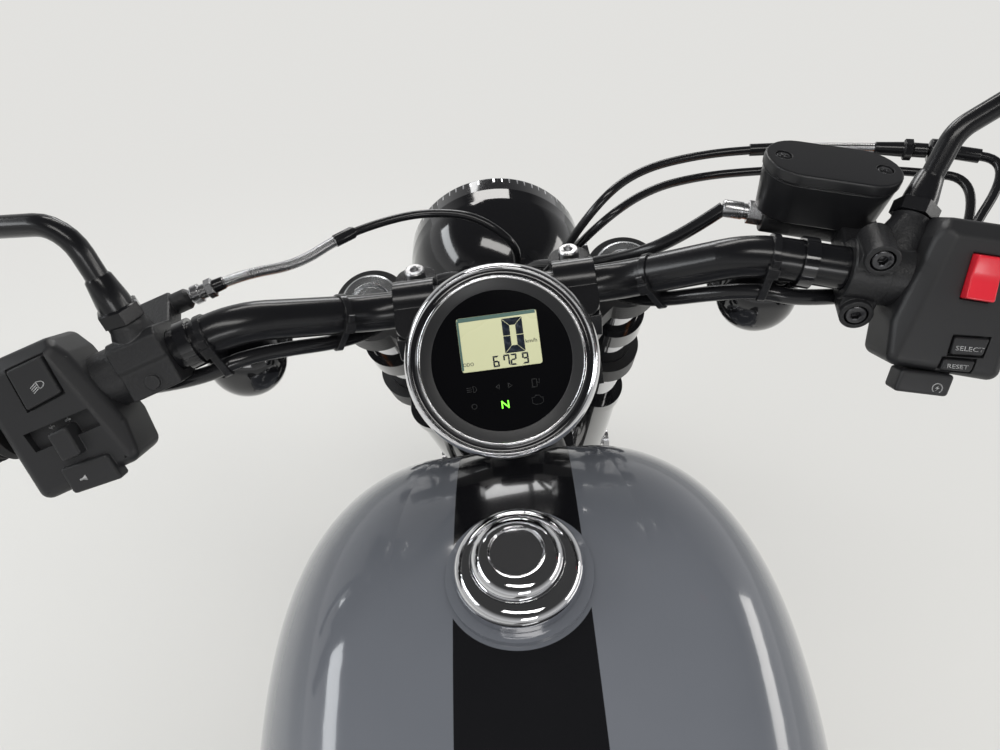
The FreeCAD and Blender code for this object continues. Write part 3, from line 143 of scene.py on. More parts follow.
def bumpOf(tree, height, strength, distance, **normal):
    sockets = {"Height": height, "Strength": strength, "Distance": distance, **normal}
    return addNode(tree, "ShaderNodeBump", sockets).outputs["Normal"]


def mixColour(tree, mask, first, second):     # the colour sockets of a Mix node are its sixth and seventh
    return addNode(tree, "ShaderNodeMix", {0: mask, 6: first, 7: second}, data_type="RGBA").outputs[2]


def mixShaders(tree, share, first, second):
    return addNode(tree, "ShaderNodeMixShader", {0: share, 1: first.outputs[0], 2: second.outputs[0]})


studio = {
    "floor": (0.66, 0.65, 0.62),
    "floorSize": 120.0,
    "floorRoughness": 0.55,
    "backdrop": (0.76, 0.755, 0.735),
    "floorFade": (1.1, 2.6),     # metres from the middle
    "fillColour": (0.95, 0.97, 1.0),
    "fill": 0.78,
    "levelShare": 0.85,          # of the backdrop that polish mirrors at eye level
    "overheadShare": 0.06,       # and straight up
    "overheadStart": 0.55,
}


# The camera sees the floor turn into the backdrop away from the motorcycle's shadow
def addFarFloor(tree, shader):
    place = addNode(tree, "ShaderNodeTexCoord").outputs["Object"]
    reach = addNode(tree, "ShaderNodeVectorMath", {0: place}, operation="LENGTH").outputs["Value"]
    far = rangeOf(tree, reach, *studio["floorFade"], interpolation_type="SMOOTHSTEP")
    seen = mathOf(tree, "MULTIPLY", far, addNode(tree, "ShaderNodeLightPath").outputs["Is Camera Ray"])
    glow = addNode(tree, "ShaderNodeEmission", {"Color": studio["backdrop"]})
    output = next(node for node in tree.nodes if node.type == "OUTPUT_MATERIAL")
    feed(tree, output, {"Surface": mixShaders(tree, seen, shader, glow).outputs[0]})


def makeStudio():
    bpy.context.scene.view_settings.view_transform = "Standard"
    world = bpy.data.worlds.new("studio")
    bpy.context.scene.world = world
    world.use_nodes = True
    tree = world.node_tree
    tree.nodes.clear()
    shown = addNode(tree, "ShaderNodeBackground", {"Color": studio["backdrop"]})
    light = addNode(tree, "ShaderNodeBackground", {"Color": studio["fillColour"], "Strength": studio["fill"]})
    direction = addNode(tree, "ShaderNodeTexCoord").outputs["Generated"]
    rise = addNode(tree, "ShaderNodeSeparateXYZ", {0: direction}).outputs["Z"]
    fall = rangeOf(tree, rise, 0.0, studio["overheadStart"], studio["levelShare"], studio["overheadShare"])
    mirrored = addNode(tree, "ShaderNodeBackground", {"Strength": fall})
    rays = addNode(tree, "ShaderNodeLightPath").outputs
    glossy = mathOf(tree, "ADD", rays["Is Glossy Ray"], rays["Is Transmission Ray"], True)
    unseen = mixShaders(tree, glossy, light, mirrored)
    whole = mixShaders(tree, rays["Is Camera Ray"], unseen, shown)
    addNode(tree, "ShaderNodeOutputWorld", {"Surface": whole.outputs[0]})

    mesh = bpy.data.meshes.new("floor")
    half = studio["floorSize"] / 2
    mesh.from_pydata([(-half, -half, 0), (half, -half, 0), (half, half, 0), (-half, half, 0)], [], [(0, 1, 2, 3)])
    finish, tree, shader = newMaterial("floorPaint")
    feed(tree, shader, {"Base Color": studio["floor"], "Roughness": studio["floorRoughness"]})
    addFarFloor(tree, shader)
    mesh.materials.append(finish)
    newObject("floor", mesh)


lampAim = Vector((0.1, -0.1, 0.6))
lamps = [
    # name, place in metres, size, power, colour
    ("overheadFront", (2.75, 0.5, 3.0), (1.9, 0.5), 20.0, (1.0, 0.98, 0.95)),
    ("overheadRear", (-0.8, 0.3, 3.1), (1.9, 0.5), 18.0, (1.0, 0.98, 0.95)),
    ("leftStrip", (0.5, 2.7, 1.9), (2.6, 0.5), 22.0, (0.95, 0.98, 1.0)),
    ("rightStrip", (0.2, -2.9, 1.7), (2.8, 0.5), 20.0, (1.0, 0.98, 0.95)),
    ("frontLamp", (3.2, 0.3, 1.8), (1.2, 0.6), 12.0, (1.0, 1.0, 1.0)),
    ("rearLamp", (-3.2, -0.4, 1.8), (1.4, 0.6), 12.0, (1.0, 1.0, 1.0)),
]


def makeLamps():
    for name, place, size, power, colour in lamps:
        data = bpy.data.lights.new(name, "AREA")
        data.shape = "RECTANGLE"
        data.size, data.size_y = size
        data.energy = power
        data.color = colour
        lamp = newObject(name, data)
        lamp.location = place
        lamp.rotation_euler = (lampAim - lamp.location).to_track_quat("-Z", "Y").to_euler()


# Shared effects: an input without a value is a vector

def newGroup(name, inputs, outputs):
    tree = bpy.data.node_groups.new(name, "ShaderNodeTree")
    for label, value in inputs.items():
        kind = "NodeSocketVector" if value is None else "NodeSocketFloat"
        socket = tree.interface.new_socket(name=label, in_out="INPUT", socket_type=kind)
        if value is not None:
            socket.default_value = value
    for label, kind in outputs.items():
        tree.interface.new_socket(name=label, in_out="OUTPUT", socket_type=kind)
    return tree, tree.nodes.new("NodeGroupInput").outputs, tree.nodes.new("NodeGroupOutput")


# Fine grain: height for a bump and a slow mottle for colour and roughness
def makeGrainGroup():
    tree, given, leave = newGroup("surfaceGrain", {"Vector": None, "Scale": 900.0, "Mottle Scale": 9.0},
                                  {"Height": "NodeSocketFloat", "Mottle": "NodeSocketFloat"})
    slow = noiseOf(tree, given["Vector"], given["Mottle Scale"], 3.0, 0.6)
    feed(tree, leave, {"Height": noiseOf(tree, given["Vector"], given["Scale"], 3.0, 0.55),
                       "Mottle": rangeOf(tree, slow, 0.32, 0.68)})
    return tree


# Rounded edges: a softened normal, and a mask of rubbed corners broken up by noise
def makeEdgeGroup():
    tree, given, leave = newGroup("roundedEdge", {"Vector": None, "Radius": 0.0008, "Break": 60.0},
                                  {"Normal": "NodeSocketVector", "Mask": "NodeSocketFloat"})
    soft = addNode(tree, "ShaderNodeBevel", {"Radius": given["Radius"]}, samples=4).outputs["Normal"]
    hard = addNode(tree, "ShaderNodeNewGeometry").outputs["Normal"]
    facing = addNode(tree, "ShaderNodeVectorMath", {0: soft, 1: hard}, operation="DOT_PRODUCT").outputs["Value"]
    edge = rangeOf(tree, facing, 0.985, 0.90)
    keep = rangeOf(tree, noiseOf(tree, given["Vector"], given["Break"], 3.0, 0.6), 0.38, 0.60)
    feed(tree, leave, {"Normal": soft, "Mask": mathOf(tree, "MULTIPLY", edge, keep, True)})
    return tree


# Wiped polish: faint streaks and finger marks that change only the roughness
def makePolishGroup():
    tree, given, leave = newGroup("polishMarks", {"Vector": None, "Low": 0.04, "High": 0.12, "Scale": 14.0},
                                  {"Roughness": "NodeSocketFloat", "Height": "NodeSocketFloat"})
    marks = noiseOf(tree, given["Vector"], given["Scale"], 5.0, 0.65)
    stretch = addNode(tree, "ShaderNodeMapping", {"Vector": given["Vector"], "Scale": (60.0, 900.0, 260.0)})
    feed(tree, leave, {"Roughness": rangeOf(tree, marks, 0.42, 0.70, given["Low"], given["High"]),
                       "Height": noiseOf(tree, stretch.outputs[0], 1.0, 2.0, 0.5)})
    return tree


# The upright motorcycle's coordinates in metres, from the leaned ones
def makeBikeSpaceGroup():
    tree, given, leave = newGroup("bikeSpace", {"Vector": None}, {"Place": "NodeSocketVector"})
    back = onFrame.inverted()
    sockets = {"Vector": given["Vector"], "Rotation": back.to_3x3().normalized().to_euler(),
               "Location": back.to_translation() / 1000.0}
    feed(tree, leave, {"Place": addNode(tree, "ShaderNodeMapping", sockets, vector_type="POINT").outputs[0]})
    return tree


groups = {}
edgeWear = {"Radius": 0.0008, "Break": 80.0}


def placeGroup(tree, group, vector, **values):
    sockets = {label.replace("_", " "): value for label, value in values.items()}
    return addNode(tree, "ShaderNodeGroup", {"Vector": vector, **sockets}, node_tree=groups[group]).outputs


def newMaterial(name):
    finish = bpy.data.materials.new(name)
    finish.use_nodes = True
    return finish, finish.node_tree, finish.node_tree.nodes["Principled BSDF"]


def objectVector(tree):
    return addNode(tree, "ShaderNodeTexCoord").outputs["Object"]


def shaded(colour, share):
    return tuple(part * share for part in colour)


# A painted, cast or moulded finish: colour with a mottle, grain in bump and rubbed edges
def makeCoated(name, colour, mottled, roughness, coat=0.0, coatRoughness=0.05, grain=900.0, bump=0.05, depth=0.0004,
               worn=None, specular=0.5):
    finish, tree, shader = newMaterial(name)
    vector = objectVector(tree)
    fine = placeGroup(tree, "grain", vector, Scale=grain, Mottle_Scale=7.0)
    corner = placeGroup(tree, "edge", vector, **edgeWear)
    paint = mixColour(tree, fine["Mottle"], colour, mottled)
    if worn is not None:
        paint = mixColour(tree, corner["Mask"], paint, worn)
    feed(tree, shader, {
        "Base Color": paint, "Roughness": rangeOf(tree, fine["Mottle"], 0.0, 1.0, *roughness),
        "Normal": bumpOf(tree, fine["Height"], bump, depth, Normal=corner["Normal"]),
        "Coat Weight": coat, "Coat Roughness": coatRoughness, "Specular IOR Level": specular})
    return finish


# Clear moulded lens, faintly wavy
def makeClear(name, tint):
    finish, tree, shader = newMaterial(name)
    fine = placeGroup(tree, "grain", objectVector(tree), Scale=60.0, Mottle_Scale=9.0)
    feed(tree, shader, {
        "Base Color": mixColour(tree, fine["Mottle"], tint, shaded(tint, 0.97)), "Roughness": 0.03,
        "Normal": bumpOf(tree, fine["Height"], 0.05, 0.0006), "Transmission Weight": 0.92, "IOR": 1.45})
    return finish


# A lit mark, a little uneven over its face
def makeLight(name, colour, strength):
    finish, tree, shader = newMaterial(name)
    fine = placeGroup(tree, "grain", objectVector(tree), Scale=600.0, Mottle_Scale=300.0)
    paint = mixColour(tree, fine["Mottle"], colour, shaded(colour, 0.85))
    feed(tree, shader, {"Base Color": paint, "Emission Color": paint, "Emission Strength": strength,
                        "Roughness": 0.4})
    return finish


# Bright metal: polish marks in the roughness and hairlines in the bump
def makeMetal(name, colour, low, high, hairline=0.02):
    finish, tree, shader = newMaterial(name)
    vector = objectVector(tree)
    marks = placeGroup(tree, "polish", vector, Low=low, High=high, Scale=14.0)
    fine = placeGroup(tree, "grain", vector, Scale=400.0, Mottle_Scale=11.0)
    corner = placeGroup(tree, "edge", vector, **edgeWear)
    feed(tree, shader, {
        "Base Color": mixColour(tree, fine["Mottle"], colour, shaded(colour, 0.94)), "Metallic": 1.0,
        "Roughness": marks["Roughness"],
        "Normal": bumpOf(tree, marks["Height"], hairline, 0.0002, Normal=corner["Normal"])})
    return finish


tankFinish = {
    "grey": (0.135, 0.142, 0.158),
    "greyShade": (0.120, 0.127, 0.142),
    "black": (0.006, 0.006, 0.007),
    "stripeHalf": 0.0415,
    "capX": 1.0169,
    "ringRadius": 0.0485,
    "lineHalf": 0.0002,      # over which the colours meet
}


# Tank paint: grey with a black stripe along the middle that stops at a grey ring round the cap
def makeTankPaint():
    finish, tree, shader = newMaterial("tankPaint")
    vector = objectVector(tree)
    space = placeGroup(tree, "space", vector)["Place"]
    place = addNode(tree, "ShaderNodeSeparateXYZ", {0: space}).outputs
    side = mathOf(tree, "ABSOLUTE", place["Y"])
    edge, ring, line = tankFinish["stripeHalf"], tankFinish["ringRadius"], tankFinish["lineHalf"]
    along = mathOf(tree, "SUBTRACT", place["X"], tankFinish["capX"])
    squares = [mathOf(tree, "MULTIPLY", part, part) for part in (along, side)]
    reach = mathOf(tree, "SQRT", mathOf(tree, "ADD", *squares))
    mask = mathOf(tree, "MULTIPLY", rangeOf(tree, side, edge + line, edge - line),
                  rangeOf(tree, reach, ring - line, ring + line), True)
    fine = placeGroup(tree, "grain", vector, Scale=240.0, Mottle_Scale=5.0)
    grey = mixColour(tree, fine["Mottle"], tankFinish["grey"], tankFinish["greyShade"])
    step = bumpOf(tree, mask, 0.25, 0.0003)
    feed(tree, shader, {
        "Base Color": mixColour(tree, mask, grey, tankFinish["black"]),
        "Roughness": placeGroup(tree, "polish", vector, Low=0.10, High=0.17, Scale=8.0)["Roughness"],
        "Normal": bumpOf(tree, fine["Height"], 0.018, 0.0006, Normal=step), "Coat Weight": 0.6,
        "Coat Roughness": 0.03})
    return finish


coats = {
    # colour, its mottle, lowest and highest roughness, and what differs from the usual coat
    "glossBlack": ((0.006, 0.006, 0.007), (0.008, 0.008, 0.009), (0.06, 0.12),
                   {"coat": 0.7, "grain": 260.0, "bump": 0.015}),
    "barBlack": ((0.006, 0.006, 0.007), (0.008, 0.008, 0.009), (0.20, 0.27),
                 {"coat": 0.25, "coatRoughness": 0.14, "grain": 300.0, "bump": 0.02, "specular": 0.32}),
    "lidPlastic": ((0.009, 0.009, 0.010), (0.012, 0.012, 0.013), (0.26, 0.33),
                   {"grain": 1300.0, "bump": 0.10, "depth": 0.0002, "worn": (0.03, 0.03, 0.031)}),
    "satinBlack": ((0.011, 0.011, 0.012), (0.016, 0.016, 0.017), (0.28, 0.40),
                   {"grain": 800.0, "bump": 0.04, "worn": (0.05, 0.05, 0.05)}),
    "castBlack": ((0.012, 0.012, 0.013), (0.014, 0.014, 0.015), (0.38, 0.48),
                  {"grain": 520.0, "bump": 0.55, "depth": 0.0006, "worn": (0.06, 0.06, 0.06)}),
    "engineBlack": ((0.012, 0.012, 0.013), (0.015, 0.015, 0.016), (0.38, 0.46),
                    {"grain": 700.0, "bump": 0.12, "worn": (0.10, 0.10, 0.105)}),
    "switchPlastic": ((0.014, 0.014, 0.015), (0.016, 0.016, 0.017), (0.40, 0.47),
                      {"grain": 1800.0, "bump": 0.14, "depth": 0.0003, "worn": (0.03, 0.03, 0.031)}),
    "casePlastic": ((0.008, 0.008, 0.009), (0.012, 0.012, 0.013), (0.12, 0.2), {"grain": 900.0, "bump": 0.03}),
    "rubber": ((0.014, 0.014, 0.014), (0.020, 0.020, 0.020), (0.55, 0.72),
               {"grain": 900.0, "bump": 0.18, "specular": 0.35}),
    "tyreRubber": ((0.016, 0.016, 0.016), (0.026, 0.025, 0.024), (0.62, 0.82),
                   {"grain": 600.0, "bump": 0.25, "specular": 0.3}),
    "leather": ((0.016, 0.015, 0.014), (0.024, 0.022, 0.020), (0.42, 0.58),
                {"grain": 420.0, "bump": 0.5, "depth": 0.0007}),
    "thread": ((0.05, 0.05, 0.05), (0.08, 0.08, 0.08), (0.6, 0.8), {"grain": 2000.0, "bump": 0.2}),
    "redLens": ((0.45, 0.008, 0.008), (0.38, 0.006, 0.006), (0.06, 0.10),
                {"coat": 0.8, "grain": 200.0, "bump": 0.02}),
    "dialGlass": ((0.0025, 0.0025, 0.003), (0.003, 0.003, 0.0035), (0.08, 0.12),
                  {"grain": 200.0, "bump": 0.0, "specular": 0.10}),
    "screenPaint": ((0.60, 0.60, 0.36), (0.575, 0.58, 0.345), (0.24, 0.30), {"grain": 300.0, "bump": 0.0}),
    # painted shadow of the screen's recess, for the teal strips on its top and left
    "screenPaintedShadow": ((0.055, 0.13, 0.105), (0.05, 0.12, 0.10), (0.3, 0.4), {"grain": 300.0, "bump": 0.0}),
    "screenInk": ((0.018, 0.028, 0.045), (0.02, 0.03, 0.05), (0.3, 0.4), {"grain": 300.0, "bump": 0.0}),
    "whiteInk": ((0.75, 0.75, 0.74), (0.66, 0.66, 0.65), (0.45, 0.55), {"grain": 1500.0, "bump": 0.05}),
    "dimMark": ((0.035, 0.035, 0.036), (0.03, 0.03, 0.031), (0.4, 0.5), {"grain": 1500.0, "bump": 0.02}),
    "killRed": ((0.72, 0.018, 0.035), (0.66, 0.016, 0.030), (0.20, 0.28),
                {"coat": 0.5, "coatRoughness": 0.12, "grain": 700.0, "bump": 0.03}),
    "amber": ((0.55, 0.16, 0.01), (0.48, 0.13, 0.01), (0.05, 0.10), {"coat": 0.9, "grain": 200.0, "bump": 0.02}),
}
metals = {
    # colour, lowest and highest roughness, depth of the hairlines
    "chrome": ((0.80, 0.80, 0.82), 0.03, 0.09),
    "steel": ((0.56, 0.56, 0.57), 0.22, 0.36, 0.10),
    "alloy": ((0.62, 0.63, 0.64), 0.20, 0.34, 0.08),
    "darkSteel": ((0.10, 0.10, 0.105), 0.24, 0.36, 0.05),
    "mirrorGlass": ((0.90, 0.91, 0.92), 0.01, 0.02, 0.0),
}


def makeMaterials():
    groups.update(grain=makeGrainGroup(), edge=makeEdgeGroup(), polish=makePolishGroup(), space=makeBikeSpaceGroup())
    made = {name: makeCoated(name, *plain, **special) for name, (*plain, special) in coats.items()}
    made.update({name: makeMetal(name, *values) for name, values in metals.items()})
    made["tankPaint"] = makeTankPaint()
    made["clearLens"] = makeClear("clearLens", (0.93, 0.95, 0.96))
    made["greenLight"] = makeLight("greenLight", (0.20, 1.0, 0.05), 1.6)
    return made


# Finish of each CAD node that shows as it is
cadFinish = {
    "tankPaint": ["fuel_tank"],
    "glossBlack": ["headlamp", "front_fender", "rear_fender", "side_covers", "rear_turn_signals", "front_wheel",
                   "rear_wheel", "fork_sliders"],
    "barBlack": ["handlebar", "clutch_lever", "brake_lever"],
    "satinBlack": ["frame", "swingarm", "side_stand", "plate_bracket", "rear_pulley"],
    "castBlack": ["upper_clamp", "lower_clamp", "front_caliper", "rear_caliper"],
    "engineBlack": ["crankcase", "cylinders", "cylinder_heads"],
    "casePlastic": ["gauge"],
    "rubber": ["grips", "drive_belt"],
    "chrome": ["filler_cap", "engine_covers", "rocker_covers", "air_cleaner", "exhaust_pipes", "muffler",
               "fork_tubes", "springs", "fender_struts", "foot_controls"],
    "steel": ["front_axle", "front_disc", "rear_disc", "dampers"],
    "alloy": ["fork_caps"],
    "redLens": ["tail_lamp"],
    "dialGlass": ["gauge_dial"],
}


def dressNodes():
    for finish, names in cadFinish.items():
        for name in names:
            materials = frame["nodes"][name].data.materials
            materials.clear()
            materials.append(finishes[finish])


# Meshes, gathered in the motorcycle's millimetres and then put in their place

def newShape():
    return {"points": [], "faces": []}


# Rings of points joined in turn
def addRows(shape, rows, caps=True):
    start = len(shape["points"])
    count = len(rows[0])
    for row in rows:
        shape["points"].extend(row)
    for index in range(len(rows) - 1):
        for step in range(count):
            after = (step + 1) % count
            near = start + index * count
            far = near + count
            shape["faces"].append((near + step, near + after, far + after, far + step))
    if caps:
        last = start + (len(rows) - 1) * count
        shape["faces"].append(tuple(start + step for step in reversed(range(count))))
        shape["faces"].append(tuple(last + step for step in range(count)))


def addMesh(shape, mesh, turn):
    start = len(shape["points"])
    shape["points"].extend(turn @ vertex.co for vertex in mesh.vertices)
    shape["faces"].extend(tuple(start + index for index in face.vertices) for face in mesh.polygons)


def acrossAxis(axis):
    other = Vector((0, 0, 1)) if abs(axis.z) < 0.9 else Vector((1, 0, 0))
    first = axis.cross(other).normalized()
    return first, axis.cross(first).normalized()


def ringAt(middle, first, second, radius, steps):
    turns = [2 * math.pi * step / steps for step in range(steps)]
    return [middle + (first * math.cos(angle) + second * math.sin(angle)) * radius for angle in turns]


# A solid turned about an axis, from pairs of radius and height
def addTurned(shape, profile, origin, axis, steps=32, caps=True):
    axis = axis.normalized()
    across = acrossAxis(axis)
    addRows(shape, [ringAt(origin + axis * height, *across, radius, steps) for radius, height in profile], caps)


# A round tube along points, its rings kept from twisting, with every second ring proud on a coil
def addTube(shape, points, radius, steps=10, ridge=0.0):
    first, second = acrossAxis((points[1] - points[0]).normalized())
    rows = []
    for index, point in enumerate(points):
        ahead = (points[min(index + 1, len(points) - 1)] - points[max(index - 1, 0)]).normalized()
        first = (first - ahead * first.dot(ahead)).normalized()
        second = ahead.cross(first)
        rows.append(ringAt(point, first, second, radius + (ridge if index % 2 else 0.0), steps))
    addRows(shape, rows)


# A flat outline of two coordinates pushed up from low to high, in a frame of its own
def addPrism(shape, steps, low, high, turn):
    addRows(shape, [[turn @ Vector((first, second, height)) for first, second in steps] for height in (low, high)])


def roundedBox(width, height, corner, middle=(0.0, 0.0), count=4):
    steps = []
    for quarter, (side, rise) in enumerate(((1, 1), (-1, 1), (-1, -1), (1, -1))):
        for step in range(count + 1):
            angle = math.pi / 2 * (quarter + step / count)
            steps.append((middle[0] + side * (width / 2 - corner) + corner * math.cos(angle),
                          middle[1] + rise * (height / 2 - corner) + corner * math.sin(angle)))
    return steps


def finishMesh(mesh, finish, angle):
    mesh.materials.clear()
    mesh.materials.append(finishes[finish])
    mesh.shade_smooth()
    if angle < 180.0:
        mesh.set_sharp_from_angle(angle=math.radians(angle))


def newMesh(name, points, faces, merge=0.0):
    mesh = bpy.data.meshes.new(name)
    mesh.from_pydata([tuple(point) for point in points], [], faces)
    work = bmesh.new()
    work.from_mesh(mesh)
    if merge > 0:
        bmesh.ops.remove_doubles(work, verts=work.verts, dist=merge)
    bmesh.ops.recalc_face_normals(work, faces=work.faces)
    work.to_mesh(mesh)
    work.free()
    return mesh


# A finished piece on its body, in place of a CAD node where one is named
def makePiece(name, shape, finish, angle=35.0, node=None, body="steering", bevel=0.0, weigh=False, merge=1e-6):
    mesh = newMesh(name, [places[body] @ point for point in shape["points"]], shape["faces"], merge)
    finishMesh(mesh, finish, angle)
    piece = newObject(name, mesh)
    if bevel > 0:
        soften = piece.modifiers.new("soften", "BEVEL")
        soften.width = bevel
        soften.segments = 2
        soften.angle_limit = math.radians(40)
        soften.harden_normals = True
    if weigh:
        piece.modifiers.new("weigh", "WEIGHTED_NORMAL").keep_sharp = True
    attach(piece, body)
    if node:
        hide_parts(node)


def makeMoulded(name, shape, finish, node=None):
    makePiece(name, shape, finish, 32.0, node, weigh=True)


# An arc through three points of a plane
def arcPoints(first, middle, last, count):
    start, through, end = (Vector((*pair, 0)) for pair in (first, middle, last))
    across = through - start
    along = end - start
    normal = across.cross(along)
    toCentre = (normal.cross(across) * along.length_squared + along.cross(normal) * across.length_squared)
    centre = start + toCentre / (2 * normal.length_squared)
    radius = (start - centre).length
    turnFrom = math.atan2(start.y - centre.y, start.x - centre.x)
    turnBy = math.atan2(end.y - centre.y, end.x - centre.x) - turnFrom
    way = math.copysign(1.0, normal.z)
    turnBy = (turnBy * way) % (2 * math.pi) * way
    points = []
    for step in range(count + 1):
        angle = turnFrom + turnBy * step / count
        points.append((centre.x + radius * math.cos(angle), centre.y + radius * math.sin(angle)))
    return points


# Tyres: every groove follows a line of the mesh, so its edges stay crisp

tyres = {
    "frontTyre": {
        "node": "front_tyre", "body": "front_wheel", "radius": 331.0, "crown": 50.0, "shoulder": (282.6, 49.95),
        "bulge": (264.3, 45.0), "lip": (243.0, 24.0), "seat": (232.3, 24.0), "pitches": 46, "sweep": 0.9,
    },
    "rearTyre": {
        "node": "rear_tyre", "body": "rear_wheel", "radius": 323.0, "crown": 85.0, "shoulder": (279.6, 74.1),
        "bulge": (243.0, 66.5), "lip": (205.0, 43.0), "seat": (194.3, 43.0), "pitches": 40, "sweep": 1.1,
    },
}
grooveDepth = 4.5
pitchColumns = ((0.0, 1), (0.13, 1), (0.16, 0), (0.45, 0), (0.70, 0), (0.97, 0))


# Rows of a tyre's section from the middle of the tread to the bead: radius, side, and how
# much of a groove's depth a row takes, all round and at the slanted grooves
def tyreSection(size):
    core = size["radius"] - size["crown"]
    full = math.asin(min(1.0, size["shoulder"][1] / size["crown"]))
    section = []
    treadRows = ((0.0, 0, 0), (0.10, 0, 0), (0.15, 0, 0), (0.165, 1, 1), (0.215, 1, 1), (0.23, 0, 0), (0.27, 0, 0),
                 (0.30, 0, 1), (0.40, 0, 1), (0.50, 0, 1), (0.60, 0, 1), (0.70, 0, 1), (0.78, 0, 1), (0.84, 0, 1),
                 (0.87, 0, 0), (0.93, 0, 0), (1.0, 0, 0))
    for share, allRound, slanted in treadRows:
        angle = full * share
        section.append((core + size["crown"] * math.cos(angle), size["crown"] * math.sin(angle), allRound, slanted,
                        share))
    wall = arcPoints(size["shoulder"], size["bulge"], size["lip"], 14)
    for index, (radius, side) in enumerate(wall[1:]):
        proud = 0.9 if index in (3, 4, 10) else 0.0
        section.append((radius, side + proud, 0, 0, 1.0))
    section.append((*size["seat"], 0, 0, 1.0))
    return section


def makeTyre(name):
    size = tyres[name]
    body = size["body"]
    axle = places[body].inverted() @ Vector(joints[body]["pos_m"])
    section = tyreSection(size)
    section = [(radius, -side, *rest) for radius, side, *rest in reversed(section[1:])] + section
    rows = []
    for pitch in range(size["pitches"]):
        for part, deep in pitchColumns:
            row = []
            for radius, side, allRound, slanted, share in section:
                half = 0.5 if side < 0 else 0.0     # the left side's grooves start half a pitch on
                turned = pitch + part + half * min(1.0, share * 5) + size["sweep"] * share
                angle = 2 * math.pi * turned / size["pitches"]
                reach = radius - grooveDepth * max(allRound, slanted * deep)
                row.append(axle + Vector((reach * math.cos(angle), side, reach * math.sin(angle))))
            rows.append(row)
    shape = newShape()
    addRows(shape, rows + rows[:1], caps=False)
    makePiece(name, shape, "tyreRubber", 38.0, size["node"], body, merge=1e-5)


# Seats: each is blown up a little as cloth, and then sewn

seats = {
    "riderSeat": {"node": "seat", "inset": 0.003, "cap": 0.010, "seamShare": 0.78, "fill": 0.75},
    "passengerSeat": {"node": "pillion_seat", "inset": 0.003, "cap": 0.010, "seamShare": 0.80, "fill": 0.75},
}
sewing = {"voxel": 0.005, "pressure": 4.0, "frames": 20, "grooveDepth": 2.6, "grooveWidth": 5.0, "pipeRadius": 1.7,
          "stitchGap": 5.0, "stitchLong": 3.0, "stitchRadius": 0.42, "stitchBeside": 5.2, "heldFacing": -0.35,
          "heldHigh": 7.0, "topFacing": 0.15, "seamEnds": 14.0}


def applied(piece):
    graph = bpy.context.evaluated_depsgraph_get()
    graph.update()
    mesh = bpy.data.meshes.new_from_object(piece.evaluated_get(graph))
    piece.modifiers.clear()
    piece.data = mesh
    return mesh


def swell(piece, size):
    mesh = piece.data
    back = onFrame.inverted()
    low = min((back @ vertex.co).z for vertex in mesh.vertices)
    for vertex in mesh.vertices:
        vertex.co -= vertex.normal * size["inset"]
    start = [vertex.co.copy() for vertex in mesh.vertices]
    held = piece.vertex_groups.new(name="held")
    for vertex in mesh.vertices:
        facing = vertex.normal.dot(upward)
        if facing < sewing["heldFacing"] or (back @ vertex.co).z < low + sewing["heldHigh"]:
            held.add([vertex.index], 1.0, "REPLACE")
    cloth = piece.modifiers.new("padding", "CLOTH")
    cloth.settings.quality = 5
    cloth.settings.use_pressure = True
    cloth.settings.uniform_pressure_force = sewing["pressure"]
    cloth.settings.effector_weights.gravity = 0.0
    cloth.settings.vertex_group_mass = "held"
    cloth.point_cache.frame_end = sewing["frames"]
    for step in range(1, sewing["frames"] + 1):
        bpy.context.scene.frame_set(step)
    mesh = applied(piece)
    bpy.context.scene.frame_set(1)
    for vertex, before in zip(mesh.vertices, start):
        move = vertex.co - before
        if move.length > size["cap"]:
            vertex.co = before + move.normalized() * size["cap"]


# Where a seam runs: the share of the seat's own half width at each distance along it
def seatWidths(mesh, back, pitch=12.0):
    widest = {}
    for vertex in mesh.vertices:
        place = back @ vertex.co
        cell = round(place.x / pitch)
        widest[cell] = max(widest.get(cell, 0.0), abs(place.y))
    cells = sorted(widest)
    smooth = {}
    for cell in cells:
        near = [widest[other] for other in cells if abs(other - cell) <= 2]
        smooth[cell] = sum(near) / len(near)
    return smooth, pitch


def halfAt(widths, x):
    smooth, pitch = widths
    low = math.floor(x / pitch)
    share = x / pitch - low
    first = smooth.get(low, smooth.get(low + 1, 0.0))
    second = smooth.get(low + 1, first)
    return first * (1 - share) + second * share


def makeSeat(name):
    size = seats[name]
    piece = newObject(name, frame["nodes"][size["node"]].data.copy())
    remesh = piece.modifiers.new("even", "REMESH")
    remesh.mode = "VOXEL"
    remesh.voxel_size = sewing["voxel"]
    applied(piece)
    swell(piece, size)
    rounder = piece.modifiers.new("round", "SMOOTH")
    rounder.factor = 0.5
    rounder.iterations = 6
    finer = piece.modifiers.new("finer", "SUBSURF")
    finer.levels = 1
    finer.render_levels = 1
    mesh = applied(piece)
    back = onFrame.inverted()
    widths = seatWidths(mesh, back)
    xs = [(back @ vertex.co).x for vertex in mesh.vertices]
    first, last = min(xs) + sewing["seamEnds"], max(xs) - sewing["seamEnds"]
    route = seamRoute(widths, size["seamShare"], first, last)
    groove(mesh, route)
    finishMesh(mesh, "leather", 180.0)
    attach(piece, "frame")
    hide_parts(size["node"])
    sewSeat(name, mesh, route)


# The seam's plan round the top panel, as points of x and y, with rounded corners
def seamRoute(widths, share, first, last):
    side = []
    steps = int((last - first) / 4.0)
    for step in range(steps + 1):
        x = first + (last - first) * step / steps
        ends = min(1.0, (x - first) / 34.0, (last - x) / 26.0)
        side.append((x, halfAt(widths, x) * share * math.sin(math.pi / 2 * max(ends, 0.0)) ** 0.6))
    return side + [(x, -y) for x, y in reversed(side)]


